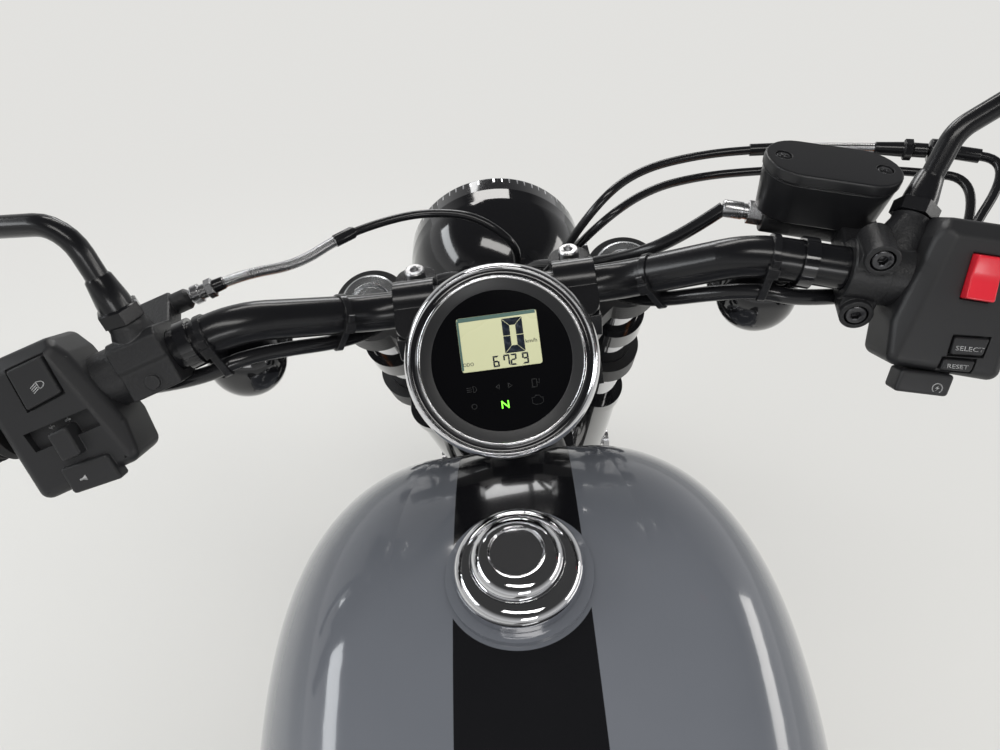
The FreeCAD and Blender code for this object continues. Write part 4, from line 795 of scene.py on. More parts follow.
def groove(mesh, route):
    tree = KDTree(len(route))
    for index, (x, y) in enumerate(route):
        tree.insert((x, y, 0), index)
    tree.balance()
    back = onFrame.inverted()
    width = sewing["grooveWidth"]
    for vertex in mesh.vertices:
        if vertex.normal.dot(upward) < sewing["topFacing"]:
            continue
        place = back @ vertex.co
        gap = tree.find((place.x, place.y, 0))[2]
        if gap < width * 2:
            vertex.co -= vertex.normal * sewing["grooveDepth"] / 1000 * math.exp(-(gap / width * 1.6) ** 2)


# Piping in the seam and a row of stitches each side of it
def sewSeat(name, mesh, route):
    back = onFrame.inverted()
    tree = BVHTree.FromPolygons([back @ vertex.co for vertex in mesh.vertices],
                                [tuple(face.vertices) for face in mesh.polygons])

    def drop(x, y, lift):
        spot = tree.ray_cast(Vector((x, y, 2000.0)), -axisZ)
        return spot[0] + spot[1] * lift if spot[0] is not None else None

    pipe = []
    for x, y in route + route[:1]:
        point = drop(x, y, 0.4)
        if point is not None and (not pipe or (point - pipe[-1]).length > 1.5):
            pipe.append(point)
    shape = newShape()
    addTube(shape, pipe, sewing["pipeRadius"], 8)
    makePiece(name + "Piping", shape, "leather", 180.0, body="frame")
    stitches = newShape()
    middle = sum((Vector((x, y, 0)) for x, y in route), Vector()) / len(route)
    plan = [Vector((point.x, point.y, 0)) for point in pipe]
    walked = 0.0
    nextStitch = 0.0
    for before, after in zip(plan, plan[1:]):
        way = (after - before).normalized()
        length = (after - before).length
        while nextStitch <= walked + length:
            spot = before + way * (nextStitch - walked)
            side = way.cross(axisZ)
            if side.dot(middle - spot) < 0:
                side = -side
            ends = []
            for shift in (-0.5, 0.5):
                place = spot + side * sewing["stitchBeside"] + way * shift * sewing["stitchLong"]
                ends.append(drop(place.x, place.y, 0.25))
            if None not in ends:
                addTube(stitches, ends, sewing["stitchRadius"], 5)
            nextStitch += sewing["stitchGap"]
        walked += length
    makePiece(name + "Stitches", stitches, "thread", 180.0, body="frame")


# Small shared shapes

def addFlat(shape, steps, turn, height, depth):
    addPrism(shape, steps, height, height + depth, turn)


# A line of even width through points on a face
def addStroke(shape, points, width, turn, height, depth):
    for (x0, y0), (x1, y1) in zip(points, points[1:]):
        way = Vector((x1 - x0, y1 - y0)).normalized() * width / 2
        steps = [(x0 - way.x - way.y, y0 - way.y + way.x), (x0 - way.x + way.y, y0 - way.y - way.x),
                 (x1 + way.x + way.y, y1 + way.y - way.x), (x1 + way.x - way.y, y1 + way.y + way.x)]
        addFlat(shape, steps, turn, height, depth)


def roundPoints(middle, radius, start, end, count=20):
    turns = [math.radians(start + (end - start) * step / count) for step in range(count + 1)]
    return [(middle[0] + radius * math.cos(angle), middle[1] + radius * math.sin(angle)) for angle in turns]


# The mesh that a curve or a text makes
def drawnMesh(data):
    drawn = newObject("drawn", data)
    mesh = bpy.data.meshes.new_from_object(drawn.evaluated_get(bpy.context.evaluated_depsgraph_get()))
    bpy.data.objects.remove(drawn)
    return mesh


def addWords(shape, words, height, turn, low, stretch):
    depth = 0.1
    data = bpy.data.curves.new("words", "FONT")
    data.body = words
    data.size = height / 0.70     # a capital's share of the font's size
    data.extrude = depth / 2
    data.align_x = data.align_y = "CENTER"
    data.resolution_u = 2
    lift = Matrix.Translation((0, 0, low + depth / 2)) @ Matrix.Diagonal((stretch, 1, 1, 1))
    addMesh(shape, drawnMesh(data), turn @ lift)


# A cap screw's head with a six-sided socket
def addSocketHead(shape, place, way, radius, high, key, floor):
    way = way.normalized()
    first, second = acrossAxis(way)
    rows = []
    profile = ((radius, 0.0, False), (radius, high - radius * 0.14, False), (radius * 0.88, high, False),
               (key * 1.25, high, False), (key, high - 0.4, True), (key, floor, True))
    for reach, height, sixSided in profile:
        row = []
        for step in range(24):
            angle = 2 * math.pi * step / 24
            out = reach / math.cos((angle % (math.pi / 3)) - math.pi / 6) if sixSided else reach
            row.append(place + way * height + (first * math.cos(angle) + second * math.sin(angle)) * out)
        rows.append(row)
    addRows(shape, rows)


# A stem's middle line: straight runs joined by arcs
def roundedRoute(points, bend):
    route = [points[0]]
    for before, corner, after in zip(points, points[1:], points[2:]):
        back = (before - corner).normalized()
        ahead = (after - corner).normalized()
        halfTurn = (math.pi - back.angle(ahead)) / 2
        room = 0.45 * min((before - corner).length, (after - corner).length)
        reach = min(bend * math.tan(halfTurn), room)
        radius = reach / math.tan(halfTurn)
        toMiddle = (back + ahead).normalized()
        centre = corner + toMiddle * math.hypot(reach, radius)
        first = corner + back * reach - centre
        last = corner + ahead * reach - centre
        for step in range(7):
            share = step / 6
            route.append(centre + first.slerp(last, share) * radius)
    route.append(points[-1])
    return route


# Points at an even pitch along part of a route
def partOf(route, start, end, pitch):
    points = []
    walked = 0.0
    wanted = start
    for before, after in zip(route, route[1:]):
        length = (after - before).length
        while length > 0 and wanted <= min(walked + length, end):
            points.append(before.lerp(after, (wanted - walked) / length))
            wanted += pitch
        walked += length
    return points


# A turned collar set on a route at a distance along it
def addCollar(shape, route, at, profile, steps=24):
    spots = partOf(route, at, at + 3.0, 1.0)
    addTurned(shape, profile, spots[0], spots[1] - spots[0], steps)


# Gauge: what is on its face is placed right and up from its middle, in millimetres

gauge = {
    "middle": Vector((1100.1, 0.0, 966.9)),
    "face": -1.5,                                 # of the black dial, out from the middle
    "screen": (0.0, 11.7, 49.0, 33.0),
    "speed": (9.0, 14.3, 12.3, 21.0, 4.3),
    "mileage": ((-3.3, "6"), (3.1, "7"), (7.3, "2"), (14.5, "9")),
    "mileageUp": -0.3,
    "mileageSize": (3.8, 6.8, 0.95),
    "ring": [(49.2, -2.0), (49.2, 1.4), (49.6, 2.1), (50.3, 2.3), (51.0, 1.9), (51.4, 1.0), (52.0, 0.5),
             (54.6, 0.3), (55.3, 0.9), (56.2, 1.5), (57.4, 0.9), (58.6, -0.8), (59.5, -3.4), (59.9, -6.2),
             (59.6, -9.4), (58.7, -11.6), (58.0, -13.0), (54.3, -13.0), (54.3, -3.9), (49.5, -3.9)],
}
segmentsOf = {"0": "abcdef", "2": "abged", "6": "acdefg", "7": "abcf", "9": "abcdfg"}
dialTurn = Matrix(((0, math.sqrt(0.5), -math.sqrt(0.5), gauge["middle"].x), (-1, 0, 0, 0),
                   (0, math.sqrt(0.5), math.sqrt(0.5), gauge["middle"].z), (0, 0, 0, 1)))


def addDigit(shape, digit, middle, wide, high, thick, height, gap=0.22):
    x0, x1 = middle[0] - wide / 2, middle[0] + wide / 2
    y0, y1 = middle[1] - high / 2, middle[1] + high / 2
    ym = middle[1]
    outlines = {
        "a": [(x0 + gap, y1), (x1 - gap, y1), (x1 - thick - gap, y1 - thick), (x0 + thick + gap, y1 - thick)],
        "d": [(x0 + gap, y0), (x1 - gap, y0), (x1 - thick - gap, y0 + thick), (x0 + thick + gap, y0 + thick)],
        "f": [(x0, y1 - gap), (x0 + thick, y1 - thick - gap), (x0 + thick, ym + gap), (x0, ym + gap)],
        "e": [(x0, y0 + gap), (x0 + thick, y0 + thick + gap), (x0 + thick, ym - gap), (x0, ym - gap)],
        "b": [(x1, y1 - gap), (x1 - thick, y1 - thick - gap), (x1 - thick, ym + gap), (x1, ym + gap)],
        "c": [(x1, y0 + gap), (x1 - thick, y0 + thick + gap), (x1 - thick, ym - gap), (x1, ym - gap)],
        "g": [(x0 + thick, ym - thick / 2), (x1 - thick, ym - thick / 2), (x1 - thick, ym + thick / 2),
              (x0 + thick, ym + thick / 2)],
    }
    for segment in segmentsOf[digit]:
        addFlat(shape, outlines[segment], dialTurn, height, 0.12)


# Dim marks on the black dial: arrows, pump, engine, lamp and ring, as line width and points
dimMarks = (
    (0.5, [(-5.4, -15.6), (-3.4, -14.2), (-3.4, -17.0), (-5.4, -15.6)]),
    (0.5, [(4.2, -15.6), (2.2, -14.2), (2.2, -17.0), (4.2, -15.6)]),
    (0.5, [(16.6, -18.4), (16.6, -13.6), (19.4, -13.6), (19.4, -18.4), (16.2, -18.4)]),
    (0.4, [(19.6, -15.6), (21.0, -16.4), (21.0, -13.8)]),
    (0.4, [(15.4, -28.0), (15.4, -24.6), (17.0, -24.6), (17.6, -23.6), (20.0, -23.6), (20.8, -25.0),
           (22.0, -25.0), (22.0, -28.0), (20.0, -29.0), (17.0, -29.0), (15.4, -28.0)]),
    (0.4, roundPoints((-19.2, -15.4), 1.9, -90, 90, 8) + [(-19.2, -17.3)]),
    (0.4, [(-20.4, -14.2), (-23.0, -14.2)]),
    (0.4, [(-20.4, -15.4), (-23.0, -15.4)]),
    (0.4, [(-20.4, -16.6), (-23.0, -16.6)]),
    (0.6, roundPoints((-19.8, -25.7), 1.5, 0, 360, 16)),
)
neutralMark = [(-3.0, -28.6), (-3.0, -24.8), (0.8, -28.6), (0.8, -24.8)]


def makeGauge():
    face = gauge["face"]
    x, y, wide, high = gauge["screen"]
    screen, shade, marks, neutral, dim, cone, ring, band = (newShape() for _ in range(8))
    addFlat(screen, roundedBox(wide, high, 1.6, (x, y)), dialTurn, face, 0.35)
    makePiece("gaugeScreen", screen, "screenPaint")
    top = face + 0.35
    left, upper = x - wide / 2, y + high / 2
    # Painted shadow: teal strips along the screen's top and left stand in for the shadow of its recess
    addFlat(shade, [(left + 0.8, upper - 2.6), (left + wide - 0.9, upper - 2.2), (left + wide - 0.9, upper - 0.1),
                    (left + 0.8, upper - 0.1)], dialTurn, top, 0.05)
    addFlat(shade, [(left + 0.1, y - high / 2 + 1.0), (left + 1.3, y - high / 2 + 1.4), (left + 1.3, upper - 2.5),
                    (left + 0.1, upper - 0.8)], dialTurn, top, 0.05)
    makePiece("gaugeScreenPaintedShadow", shade, "screenPaintedShadow")
    addDigit(marks, "0", gauge["speed"][:2], *gauge["speed"][2:], top)
    for right, digit in gauge["mileage"]:
        addDigit(marks, digit, (right, gauge["mileageUp"]), *gauge["mileageSize"], top, 0.1)
    addWords(marks, "km/h", 2.3, dialTurn @ Matrix.Translation((19.3, 9.6, 0)), top, 1.1)
    addWords(marks, "ODO", 2.2, dialTurn @ Matrix.Translation((-20.2, -0.3, 0)), top, 0.9)
    makePiece("gaugeDigits", marks, "screenInk", 180.0)
    addStroke(neutral, neutralMark, 0.8, dialTurn, face, 0.15)
    makePiece("neutralLight", neutral, "greenLight", 180.0)
    for width, points in dimMarks:
        addStroke(dim, points, width, dialTurn, face, 0.12)
    makePiece("gaugeMarks", dim, "dimMark", 180.0)
    axis = dialTurn.to_3x3() @ axisZ
    addTurned(cone, [(42.6, face - 0.3), (42.9, face + 0.25), (43.6, face + 0.4), (49.3, 1.1), (49.3, face - 0.5)],
              gauge["middle"], axis, 96, caps=False)
    makePiece("gaugeCone", cone, "satinBlack", 30.0)
    # Painted reflection: a gloss black band laid over the chrome ring's hollow stands in for the dark reflection seen
    # there
    addTurned(band, [(51.3, 0.9), (51.5, 1.2), (52.2, 0.75), (54.5, 0.55), (55.1, 0.95), (55.3, 0.7)],
              gauge["middle"], axis, 128, caps=False)
    makePiece("gaugeRingPaintedReflection", band, "glossBlack", 50.0)
    addTurned(ring, gauge["ring"], gauge["middle"], axis, 128, caps=False)
    makePiece("gaugeRing", ring, "chrome", 50.0, "gauge_bezel")


# Switch marks: right and up across a housing's face, and out towards the rider

bar = {"rise": Vector((1132.7, 157.1, 996.5)), "end": Vector((1065.9, 415.0, 949.6)),
       "middle": Vector((1171.3, 84.0, 960.0)), "radius": 12.7, "housing": 251.0, "perch": 220.0}
barOut = (bar["end"] - bar["rise"]).normalized()
faceUp = Vector((0.53, 0, 0.85))
faceUp = (faceUp - barOut * faceUp.dot(barOut)).normalized()
faceOut = faceUp.cross(barOut).normalized()
levelUp = (axisZ - barOut * barOut.z).normalized()
levelBack = levelUp.cross(barOut)


def barAt(y):
    return bar["rise"].lerp(bar["end"], (y - bar["rise"].y) / (bar["end"].y - bar["rise"].y))


def flipped(place):
    return Vector((place.x, -place.y, place.z))


def sided(place, side):
    return place if side > 0 else flipped(place)


# A frame from its three ways and its place, mirrored for the right side
def columnTurn(columns, side=1):
    columns = [sided(column, side) for column in columns]
    turn = Matrix(columns[:3]).transposed().to_4x4()
    turn.translation = columns[3]
    return turn


# Frames at a place along the bar: x out along it, y towards the rider, z up the face or level
def barFrame(y, side, level=False):
    return columnTurn((barOut, levelBack if level else faceOut, levelUp if level else faceUp, barAt(y)), side)


# Outlines of the marks in their own small frames
markShapes = {
    "turnArrow": [(-2.0, 0), (-0.1, 1.5), (-0.1, 0.6), (1.7, 0.6), (1.7, -0.6), (-0.1, -0.6), (-0.1, -1.5)],
    "horn": [(-2.4, 0.5), (-0.6, 0.5), (1.6, 1.7), (1.6, -1.7), (-0.6, -0.5), (-2.4, -0.5)],
    "bolt": [(0.6, 1.7), (-1.1, -0.3), (-0.1, -0.2), (-0.6, -1.7), (1.1, 0.4), (0.1, 0.3)],
}


def makeSwitchMarks():
    white = newShape()
    face = housing["face"]
    # across to the right, up the face and out towards the rider
    left, right = (columnTurn((barOut * -side, faceUp, faceOut, barAt(bar["housing"])), side) for side in (1, -1))
    beam = left @ Matrix.Translation((-11.0, 14.0, 0)) @ Matrix.Rotation(math.radians(6), 4, "Z")
    bulge = [(3.6 * math.sin(math.pi * step / 10), 2.1 * math.cos(math.pi * step / 10)) for step in range(11)]
    addStroke(white, [(0.0, 2.1), *bulge, (0.0, 2.1)], 0.5, beam, face + 2.02, 0.1)
    for rise in (1.7, 0.55, -0.6, -1.75):
        addStroke(white, [(-0.9, rise), (-4.2, rise - 1.0)], 0.5, beam, face + 2.02, 0.1)
    for along, way in ((-20.6, 1), (-10.6, -1)):
        addFlat(white, [(along + x * way, y - 10.6) for x, y in markShapes["turnArrow"]], left, face - 5.98, 0.12)
    addFlat(white, [(x - 15.0, y - 44.6) for x, y in markShapes["horn"]], left, face + 4.02, 0.1)
    start = right @ Matrix.Translation((13.2, -57.2, 0))
    addStroke(white, roundPoints((0, 0), 2.7, -50, 230, 22), 0.5, start, face + 1.02, 0.1)
    addFlat(white, markShapes["bolt"], start, face + 1.02, 0.1)
    for text, place, tall, stretch in (("SELECT", (23.6, -32.4, 0), 2.5, 1.3), ("RESET", (20.1, -43.2, 0), 2.4, 1.25)):
        turn = right @ Matrix.Translation(place) @ Matrix.Rotation(math.radians(5), 4, "Z")
        addWords(white, text, tall, turn, face + 1.52, stretch)
    makePiece("switchMarks", white, "whiteInk", 180.0)


# Moulded and cast forms of the controls, made of simple solids in frames of their own

sideways = Matrix(((1, 0, 0, 0), (0, 0, 1, 0), (0, 1, 0, 0), (0, 0, 0, 1)))     # outline x and z, pushed along y
endways = Matrix(((0, 0, 1, 0), (1, 0, 0, 0), (0, 1, 0, 0), (0, 0, 0, 1)))      # outline y and z, pushed along x
flatways = Matrix.Identity(4)


def prism(steps, low, high, turn=sideways):
    shape = newShape()
    addPrism(shape, steps, low, high, turn)
    return shape


def boxShape(x0, x1, y0, y1, z0, z1):
    return prism([(x0, z0), (x1, z0), (x1, z1), (x0, z1)], y0, y1)


def rodShape(start, end, radius, steps=32):
    shape = newShape()
    start, end = Vector(start), Vector(end)
    addTurned(shape, [(radius, 0.0), (radius, (end - start).length)], start, end - start, steps)
    return shape


def looseForm(shape):
    return newObject("form", newMesh("form", shape["points"], shape["faces"]))


def addBevel(form, width, segments):
    step = form.modifiers.new("round", "BEVEL")
    step.width = width
    step.segments = segments
    step.limit_method = "ANGLE"
    step.angle_limit = math.radians(25)


# Adds a solid to a shape with its edges rounded, then cut, then softened
def addForm(shape, turn, solid, rounding=0.0, cuts=(), keep=None, soft=0.0):
    form = looseForm(solid)
    helpers = []
    if rounding > 0:
        addBevel(form, rounding, 3)
    for tool, operation in [(cut, "DIFFERENCE") for cut in cuts] + ([(keep, "INTERSECT")] if keep else []):
        helpers.append(looseForm(tool))
        step = form.modifiers.new("cut", "BOOLEAN")
        step.operation = operation
        step.solver = "EXACT"
        step.object = helpers[-1]
    if soft > 0:
        addBevel(form, soft, 2)
    addMesh(shape, applied(form) if form.modifiers else form.data, turn)
    for spent in [form, *helpers]:
        bpy.data.objects.remove(spent)


housing = {
    "back": -19.0, "face": 26.0, "top": 37.0, "rounding": 6.5,
    "outline": [(46.0, -49.0), (46.0, 37.0), (-3.0, 37.0), (-9.0, 24.0), (-18.0, -24.0), (-16.0, -49.0)],
    "flankWide": 9.0, "flankDeep": 6.0, "crown": 9.0, "gap": 1.2,
    # outline, depth of its pocket, proud of the face, sunk under it, rounding
    "beam": ([(2.0, 5.0), (24.0, 3.5), (23.0, 28.0), (2.0, 28.5)], 3.0, 2.0, 6.0, 1.4),
    "turnSlot": ([(-7.0, -21.0), (-5.0, -9.0), (34.0, -8.0), (33.0, -20.0)], 6.0, 0.0, 0.0, 0.0),
    "turnKnob": ([(7.0, -31.0), (7.0, -13.0), (19.0, -13.0), (19.0, -31.0)], 0.0, 8.0, 8.0, 2.0),
    "horn": ([(-4.0, -54.0), (-3.0, -37.0), (25.0, -34.0), (25.0, -51.0)], 0.0, 4.0, 9.0, 2.0),
    "select": ([(14.6, -37.0), (14.6, -27.0), (32.6, -25.0), (31.6, -35.0)], 3.0, 1.5, 6.0, 1.2),
    "reset": ([(11.6, -46.5), (12.4, -40.0), (28.8, -38.5), (28.0, -45.0)], 3.0, 1.5, 6.0, 1.2),
    "start": ([(-9.0, -63.0), (-8.0, -50.0), (21.0, -48.5), (20.0, -61.5)], 0.0, 1.0, 16.0, 2.0),
    "killRoom": ([(11.0, -6.0), (11.0, 20.0), (27.0, 20.0), (27.0, -6.0)], 4.0, 0.0, 0.0, 0.0),
}


def widened(steps, gap):
    middleX, middleZ = (sum(step[index] for step in steps) / len(steps) for index in (0, 1))
    return [(x + math.copysign(gap, x - middleX), z + math.copysign(gap, z - middleZ)) for x, z in steps]


# A convex body between planes, its edges rounded by balls set in its corners
def roundedBody(planes, radius):
    work = bmesh.new()
    bmesh.ops.create_cube(work, size=400.0)
    for normal, distance in planes:
        bmesh.ops.bisect_plane(work, geom=work.verts[:] + work.edges[:] + work.faces[:],
                               plane_co=normal * (distance - radius), plane_no=normal, clear_outer=True)
        bmesh.ops.holes_fill(work, edges=work.edges[:])
    corners = [vertex.co.copy() for vertex in work.verts]
    work.free()
    hull = bmesh.new()
    for corner in corners:
        bmesh.ops.create_icosphere(hull, subdivisions=3, radius=radius, matrix=Matrix.Translation(corner))
    made = bmesh.ops.convex_hull(hull, input=hull.verts[:])
    spare = [part for part in made["geom_interior"] + made["geom_unused"] if isinstance(part, bmesh.types.BMVert)]
    bmesh.ops.delete(hull, geom=spare, context="VERTS")
    bmesh.ops.dissolve_limit(hull, angle_limit=math.radians(1.0), verts=hull.verts[:], edges=hull.edges[:])
    hull.verts.index_update()
    shape = {"points": [vertex.co.copy() for vertex in hull.verts],
             "faces": [tuple(vertex.index for vertex in face.verts) for face in hull.faces]}
    hull.free()
    return shape


def housingPlanes():
    steps = housing["outline"]
    face, top, slope = housing["face"], housing["top"], housing["crown"]
    planes = [(Vector((0, 1, 0)), face), (Vector((0, -1, 0)), -housing["back"])]
    for (x0, z0), (x1, z1) in zip(steps, steps[1:] + steps[:1]):
        normal = Vector((z0 - z1, 0, x1 - x0)).normalized() * -1.0
        planes.append((normal, normal.dot(Vector((x0, 0, z0)))))
    crown = Vector((0, 1, 1)).normalized()
    planes.append((crown, crown.dot(Vector((0, face, top - slope)))))
    edge, foot = Vector(steps[3]), Vector(steps[4])
    inner = (foot - edge).normalized()
    across = Vector((-inner.y, inner.x)) * housing["flankWide"]
    first = Vector((edge.x + across.x, face, edge.y + across.y))
    second = Vector((edge.x, face - housing["flankDeep"], edge.y))
    flank = (second - first).cross(Vector((inner.x, 0, inner.y))).normalized()
    if flank.y < 0:
        flank = -flank
    planes.append((flank, flank.dot(first)))
    return planes


def makeHousing(name, node, side, keys):
    shape = newShape()
    turn = barFrame(bar["housing"], side)
    face = housing["face"]
    cuts, caps = [], []
    for steps, deep, proud, sunk, rounding in (housing[key] for key in keys):
        if deep > 0:
            wide = widened(steps, housing["gap"]) if proud > 0 else steps
            cuts.append(prism(wide, face - deep, face + 20.0))
        if proud > 0:
            caps.append((prism(steps, face - sunk, face + proud), rounding))
    addForm(shape, turn, roundedBody(housingPlanes(), housing["rounding"]), cuts=cuts)
    for solid, rounding in caps:
        addForm(shape, turn, solid, rounding)
    makeMoulded(name, shape, "switchPlastic", node)


def makeHousings():
    makeHousing("leftHousing", "left_switches", 1, ("beam", "turnSlot", "turnKnob", "horn"))
    makeHousing("rightHousing", "right_switches", -1, ("select", "reset", "start", "killRoom"))
    face = housing["face"]
    (x0, z0), (x1, z1) = housing["killRoom"][0][0], housing["killRoom"][0][2]
    middle = (z0 + z1) / 2
    steps = [(face - 4.0, z0 + 0.3), (face - 4.0, z1 - 0.3), (face + 6.6, z1 - 1.0), (face + 5.4, middle + 3.0),
             (face + 4.9, middle), (face + 5.4, middle - 3.0), (face + 6.6, z0 + 1.0)]
    rocker = newShape()
    addForm(rocker, barFrame(bar["housing"], -1), prism(steps, x0 + 0.3, x1 - 0.3, endways), soft=1.3)
    makeMoulded("killRocker", rocker, "killRed")


perches = {"reach": 26.0, "radius": 18.0, "bore": 13.0, "armHalf": 9.0, "armLong": -50.0, "slotFrom": 5.0,
           "slotHalf": 4.3, "pin": (15.0, -37.0, 4.0), "in": -25.0, "adjuster": -50.0, "bossRadius": 11.0}
perchSteps = [(18.0, -1.0), (20.0, 1.0), (20.0, 14.0), (15.0, 19.0), (-14.0, 19.0), (-20.0, 12.0), (-20.0, -10.0),
              (-12.0, -18.0), (18.0, -18.0)]
leftAnchor = barAt(bar["perch"] - 8.0)
leftWay = Vector((0.20, 0.16, 0.95)).normalized()
leftTop = leftAnchor + leftWay * 30.0
rightAnchor = flipped(barAt(bar["perch"] + 12.0))
rightTop = Vector((1137.0, -252.0, 1004.0))
rightWay = (rightTop - rightAnchor).normalized()
barBore = rodShape((-60.0, 0, 0), (60.0, 0, 0), perches["bore"])


def addPerch(shape, turn):
    reach, half, slot, bore, radius = (perches[key] for key in ("reach", "armHalf", "slotHalf", "bore", "radius"))
    ring = newShape()
    profile = [(bore, 0.0), (radius, 0.0), (radius, reach), (bore, reach), (bore, 0.0)]
    addTurned(ring, profile, Vector((0, 0, 0)), axisX, 48, caps=False)
    addForm(shape, turn, ring)
    arm = boxShape(0.0, reach, perches["armLong"], -14.0, -half, half)
    room = boxShape(perches["slotFrom"], reach + 9.0, -60.0, -29.0, -slot, slot)
    addForm(shape, turn, arm, 2.4, [room], soft=0.4)
    x, y, radius = perches["pin"]
    addForm(shape, turn, rodShape((x, y, -11.0), (x, y, 11.0), radius), 0.6)


def addBoss(shape, anchor, top):
    radius, long = perches["bossRadius"], (top - anchor).length
    addTurned(shape, [(radius + 3.0, 6.0), (radius + 3.0, long - 12.0), (radius, long - 4.0), (radius, long - 0.8),
                      (radius - 0.8, long)], anchor, top - anchor, 40)


def makeClutchPerch():
    shape, horn = newShape(), newShape()
    turn = barFrame(bar["perch"], 1)
    addPerch(shape, turn)
    inner, adjuster = perches["in"], perches["adjuster"]
    addForm(shape, turn, prism(perchSteps, inner, 6.0, endways), 1.5, [barBore])
    addForm(shape, turn, rodShape((-10.0, 15.0, -11.0), (-10.0, 20.5, -11.0), 4.5), 0.7)
    addBoss(shape, leftAnchor, leftTop)
    level = barFrame(bar["perch"], 1, True)
    addTurned(horn, [(7.0, 0.0), (7.0, 10.0), (4.5, 13.0), (4.5, 24.0), (5.5, 24.0), (5.5, 28.0)],
              Vector((inner + 2.0, adjuster, 0.0)), -axisX, 24)
    addForm(shape, level, horn)
    addForm(shape, level, boxShape(inner + 1.0, 0.0, adjuster - 7.0, -10.0, -8.0, 7.0), 2.0)
    makeMoulded("clutchPerch", shape, "castBlack", "clutch_perch")


brake = {"y": 195.0, "half": 41.0, "radius": 22.0, "middle": -50.0, "top": 40.0, "capHigh": 7.0, "low": 4.0,
         "drop": 1.0, "barrelRadius": 11.0, "barrelY": -48.0, "barrelEnd": -31.0, "screwReach": 30.0,
         "clampTurn": math.radians(28.0), "boltReach": 19.0}


# The reservoir's plan, drawn in from its widest, stacked up through pairs of that and height
def reservoirShape(levels):
    shape = newShape()
    reach = brake["half"] - brake["radius"]
    rows = []
    for shrink, height in levels:
        steps = []
        for side, start in ((1, -90), (-1, 90)):
            steps += roundPoints((side * reach, brake["middle"]), brake["radius"] - shrink, start, start + 180, 14)
        rows.append([Vector((x, y, height)) for x, y in steps])
    addRows(shape, rows)
    return shape


def makeBrakeCylinder():
    shape, tank, fitting = newShape(), newShape(), newShape()
    turn = barFrame(bar["perch"], -1)
    addPerch(shape, turn)
    spun = turn @ Matrix.Rotation(-brake["clampTurn"], 4, "X")
    reach = brake["boltReach"]
    addForm(shape, spun, rodShape((-12.0, 0, 0), (10.0, 0, 0), perches["radius"], 48), 1.0, [barBore])
    addForm(shape, spun, boxShape(-11.0, 9.0, -6.0, 15.0, -reach, reach), 1.2, [barBore])
    for z in (-reach, reach):
        sink = rodShape((-1.0, 14.0, z), (-1.0, 30.0, z), 6.8)
        addForm(shape, spun, rodShape((-1.0, -8.0, z), (-1.0, 19.0, z), 9.5, 40), 0.8, [sink, barBore])
    addBoss(shape, rightAnchor, rightTop)
    level = barFrame(brake["y"], -1, True)
    y, drop, end = brake["barrelY"], -brake["drop"], brake["barrelEnd"]
    addForm(shape, level, rodShape((end, y, drop), (32.0, y, drop), brake["barrelRadius"]), 1.2)
    addForm(shape, level, boxShape(14.0, 38.0, -56.0, -8.0, -9.0, 8.0), 2.0)
    makeMoulded("brakeCylinder", shape, "castBlack", "master_cylinder")
    low, top, seam = brake["low"], brake["top"], brake["top"] - brake["capHigh"]
    addForm(tank, level, reservoirShape(((5.4, low), (4.4, low + 1.0), (0.9, seam - 1.2), (1.6, seam - 0.5),
                                         (1.6, seam + 0.2))))
    holes = [rodShape((x, brake["middle"], top - 2.0), (x, brake["middle"], top + 5.0), 5.2)
             for x in (-brake["screwReach"], brake["screwReach"])]
    addForm(tank, level, reservoirShape(((0.6, seam), (0.0, seam + 0.6), (0.0, top - 1.6), (0.5, top - 0.5),
                                         (1.6, top))), 0.0, holes)
    makeMoulded("fluidReservoir", tank, "lidPlastic")
    place, way = level @ Vector((end, y, drop)), -flipped(barOut)
    addTurned(fitting, [(7.4, 0.0), (7.4, 9.0)], place, way, 6)
    addTurned(fitting, [(5.0, 9.0), (5.0, 12.0), (5.6, 12.4), (5.6, 24.0), (4.8, 25.0)], place, way, 24)
    makePiece("hoseFitting", fitting, "steel", 40.0)


mirrors = (
    # top of the boss, its direction, knee, elbow, head
    (leftTop + leftWay * 0.3, leftWay, leftAnchor + leftWay * 92.0, Vector((1158.0, 306.0, 1070.0)),
     Vector((1158.0, 386.0, 1094.0))),
    (rightTop + rightWay * 0.3, rightWay, Vector((1164.0, -280.0, 1042.0)), Vector((1172.0, -322.0, 1060.0)),
     Vector((1158.0, -386.0, 1094.0))),
)
mirrorSize = {"stalk": 6.5, "bend": 26.0, "radius": 52.0, "edge": 12.0,
              "facing": Vector((-1.0, 0.0, 0.12)).normalized()}


def makeMirrors():
    shape, glass = newShape(), newShape()
    stalk, facing, radius, edge = (mirrorSize[key] for key in ("stalk", "facing", "radius", "edge"))
    rim = [(step * math.pi / 12, -4.0 - 5.0 * math.cos(step * math.pi / 12)) for step in range(1, 6)]
    profile = [(8.0, -9.4), (radius - edge, -9.0), *((radius - edge + edge * math.sin(angle), height)
                                                     for angle, height in rim),
               (radius, -2.0), (radius - 0.6, 3.0), (radius - 2.4, 7.0), (radius - 4.2, 8.4), (radius - 5.2, 7.8)]
    for base, way, knee, elbow, head in mirrors:
        addTube(shape, roundedRoute([base + way * 20.0, knee, elbow, head], mirrorSize["bend"]), stalk, 20)
        addTurned(shape, [(13.2, 0.0), (13.2, 8.2), (12.2, 9.0)], base, way, 6)
        addTurned(shape, [(10.0, 9.0), (9.6, 14.0), (stalk + 1.2, 27.5), (stalk, 29.0)], base, way, 32)
        at = head + facing * 4.0
        addTurned(shape, profile, at, facing, 64)
        addTurned(glass, [(radius - 5.4, 7.4), (radius - 5.4, 8.0), (radius - 6.0, 8.1)], at, facing, 64)
    makePiece("mirrorShells", shape, "barBlack", 40.0, "mirrors")
    makePiece("mirrorGlass", glass, "mirrorGlass", 40.0)


riser = {"side": 53.4, "width": 27.5, "fit": 0.3, "corner": 11.0, "bolt": 22.5}


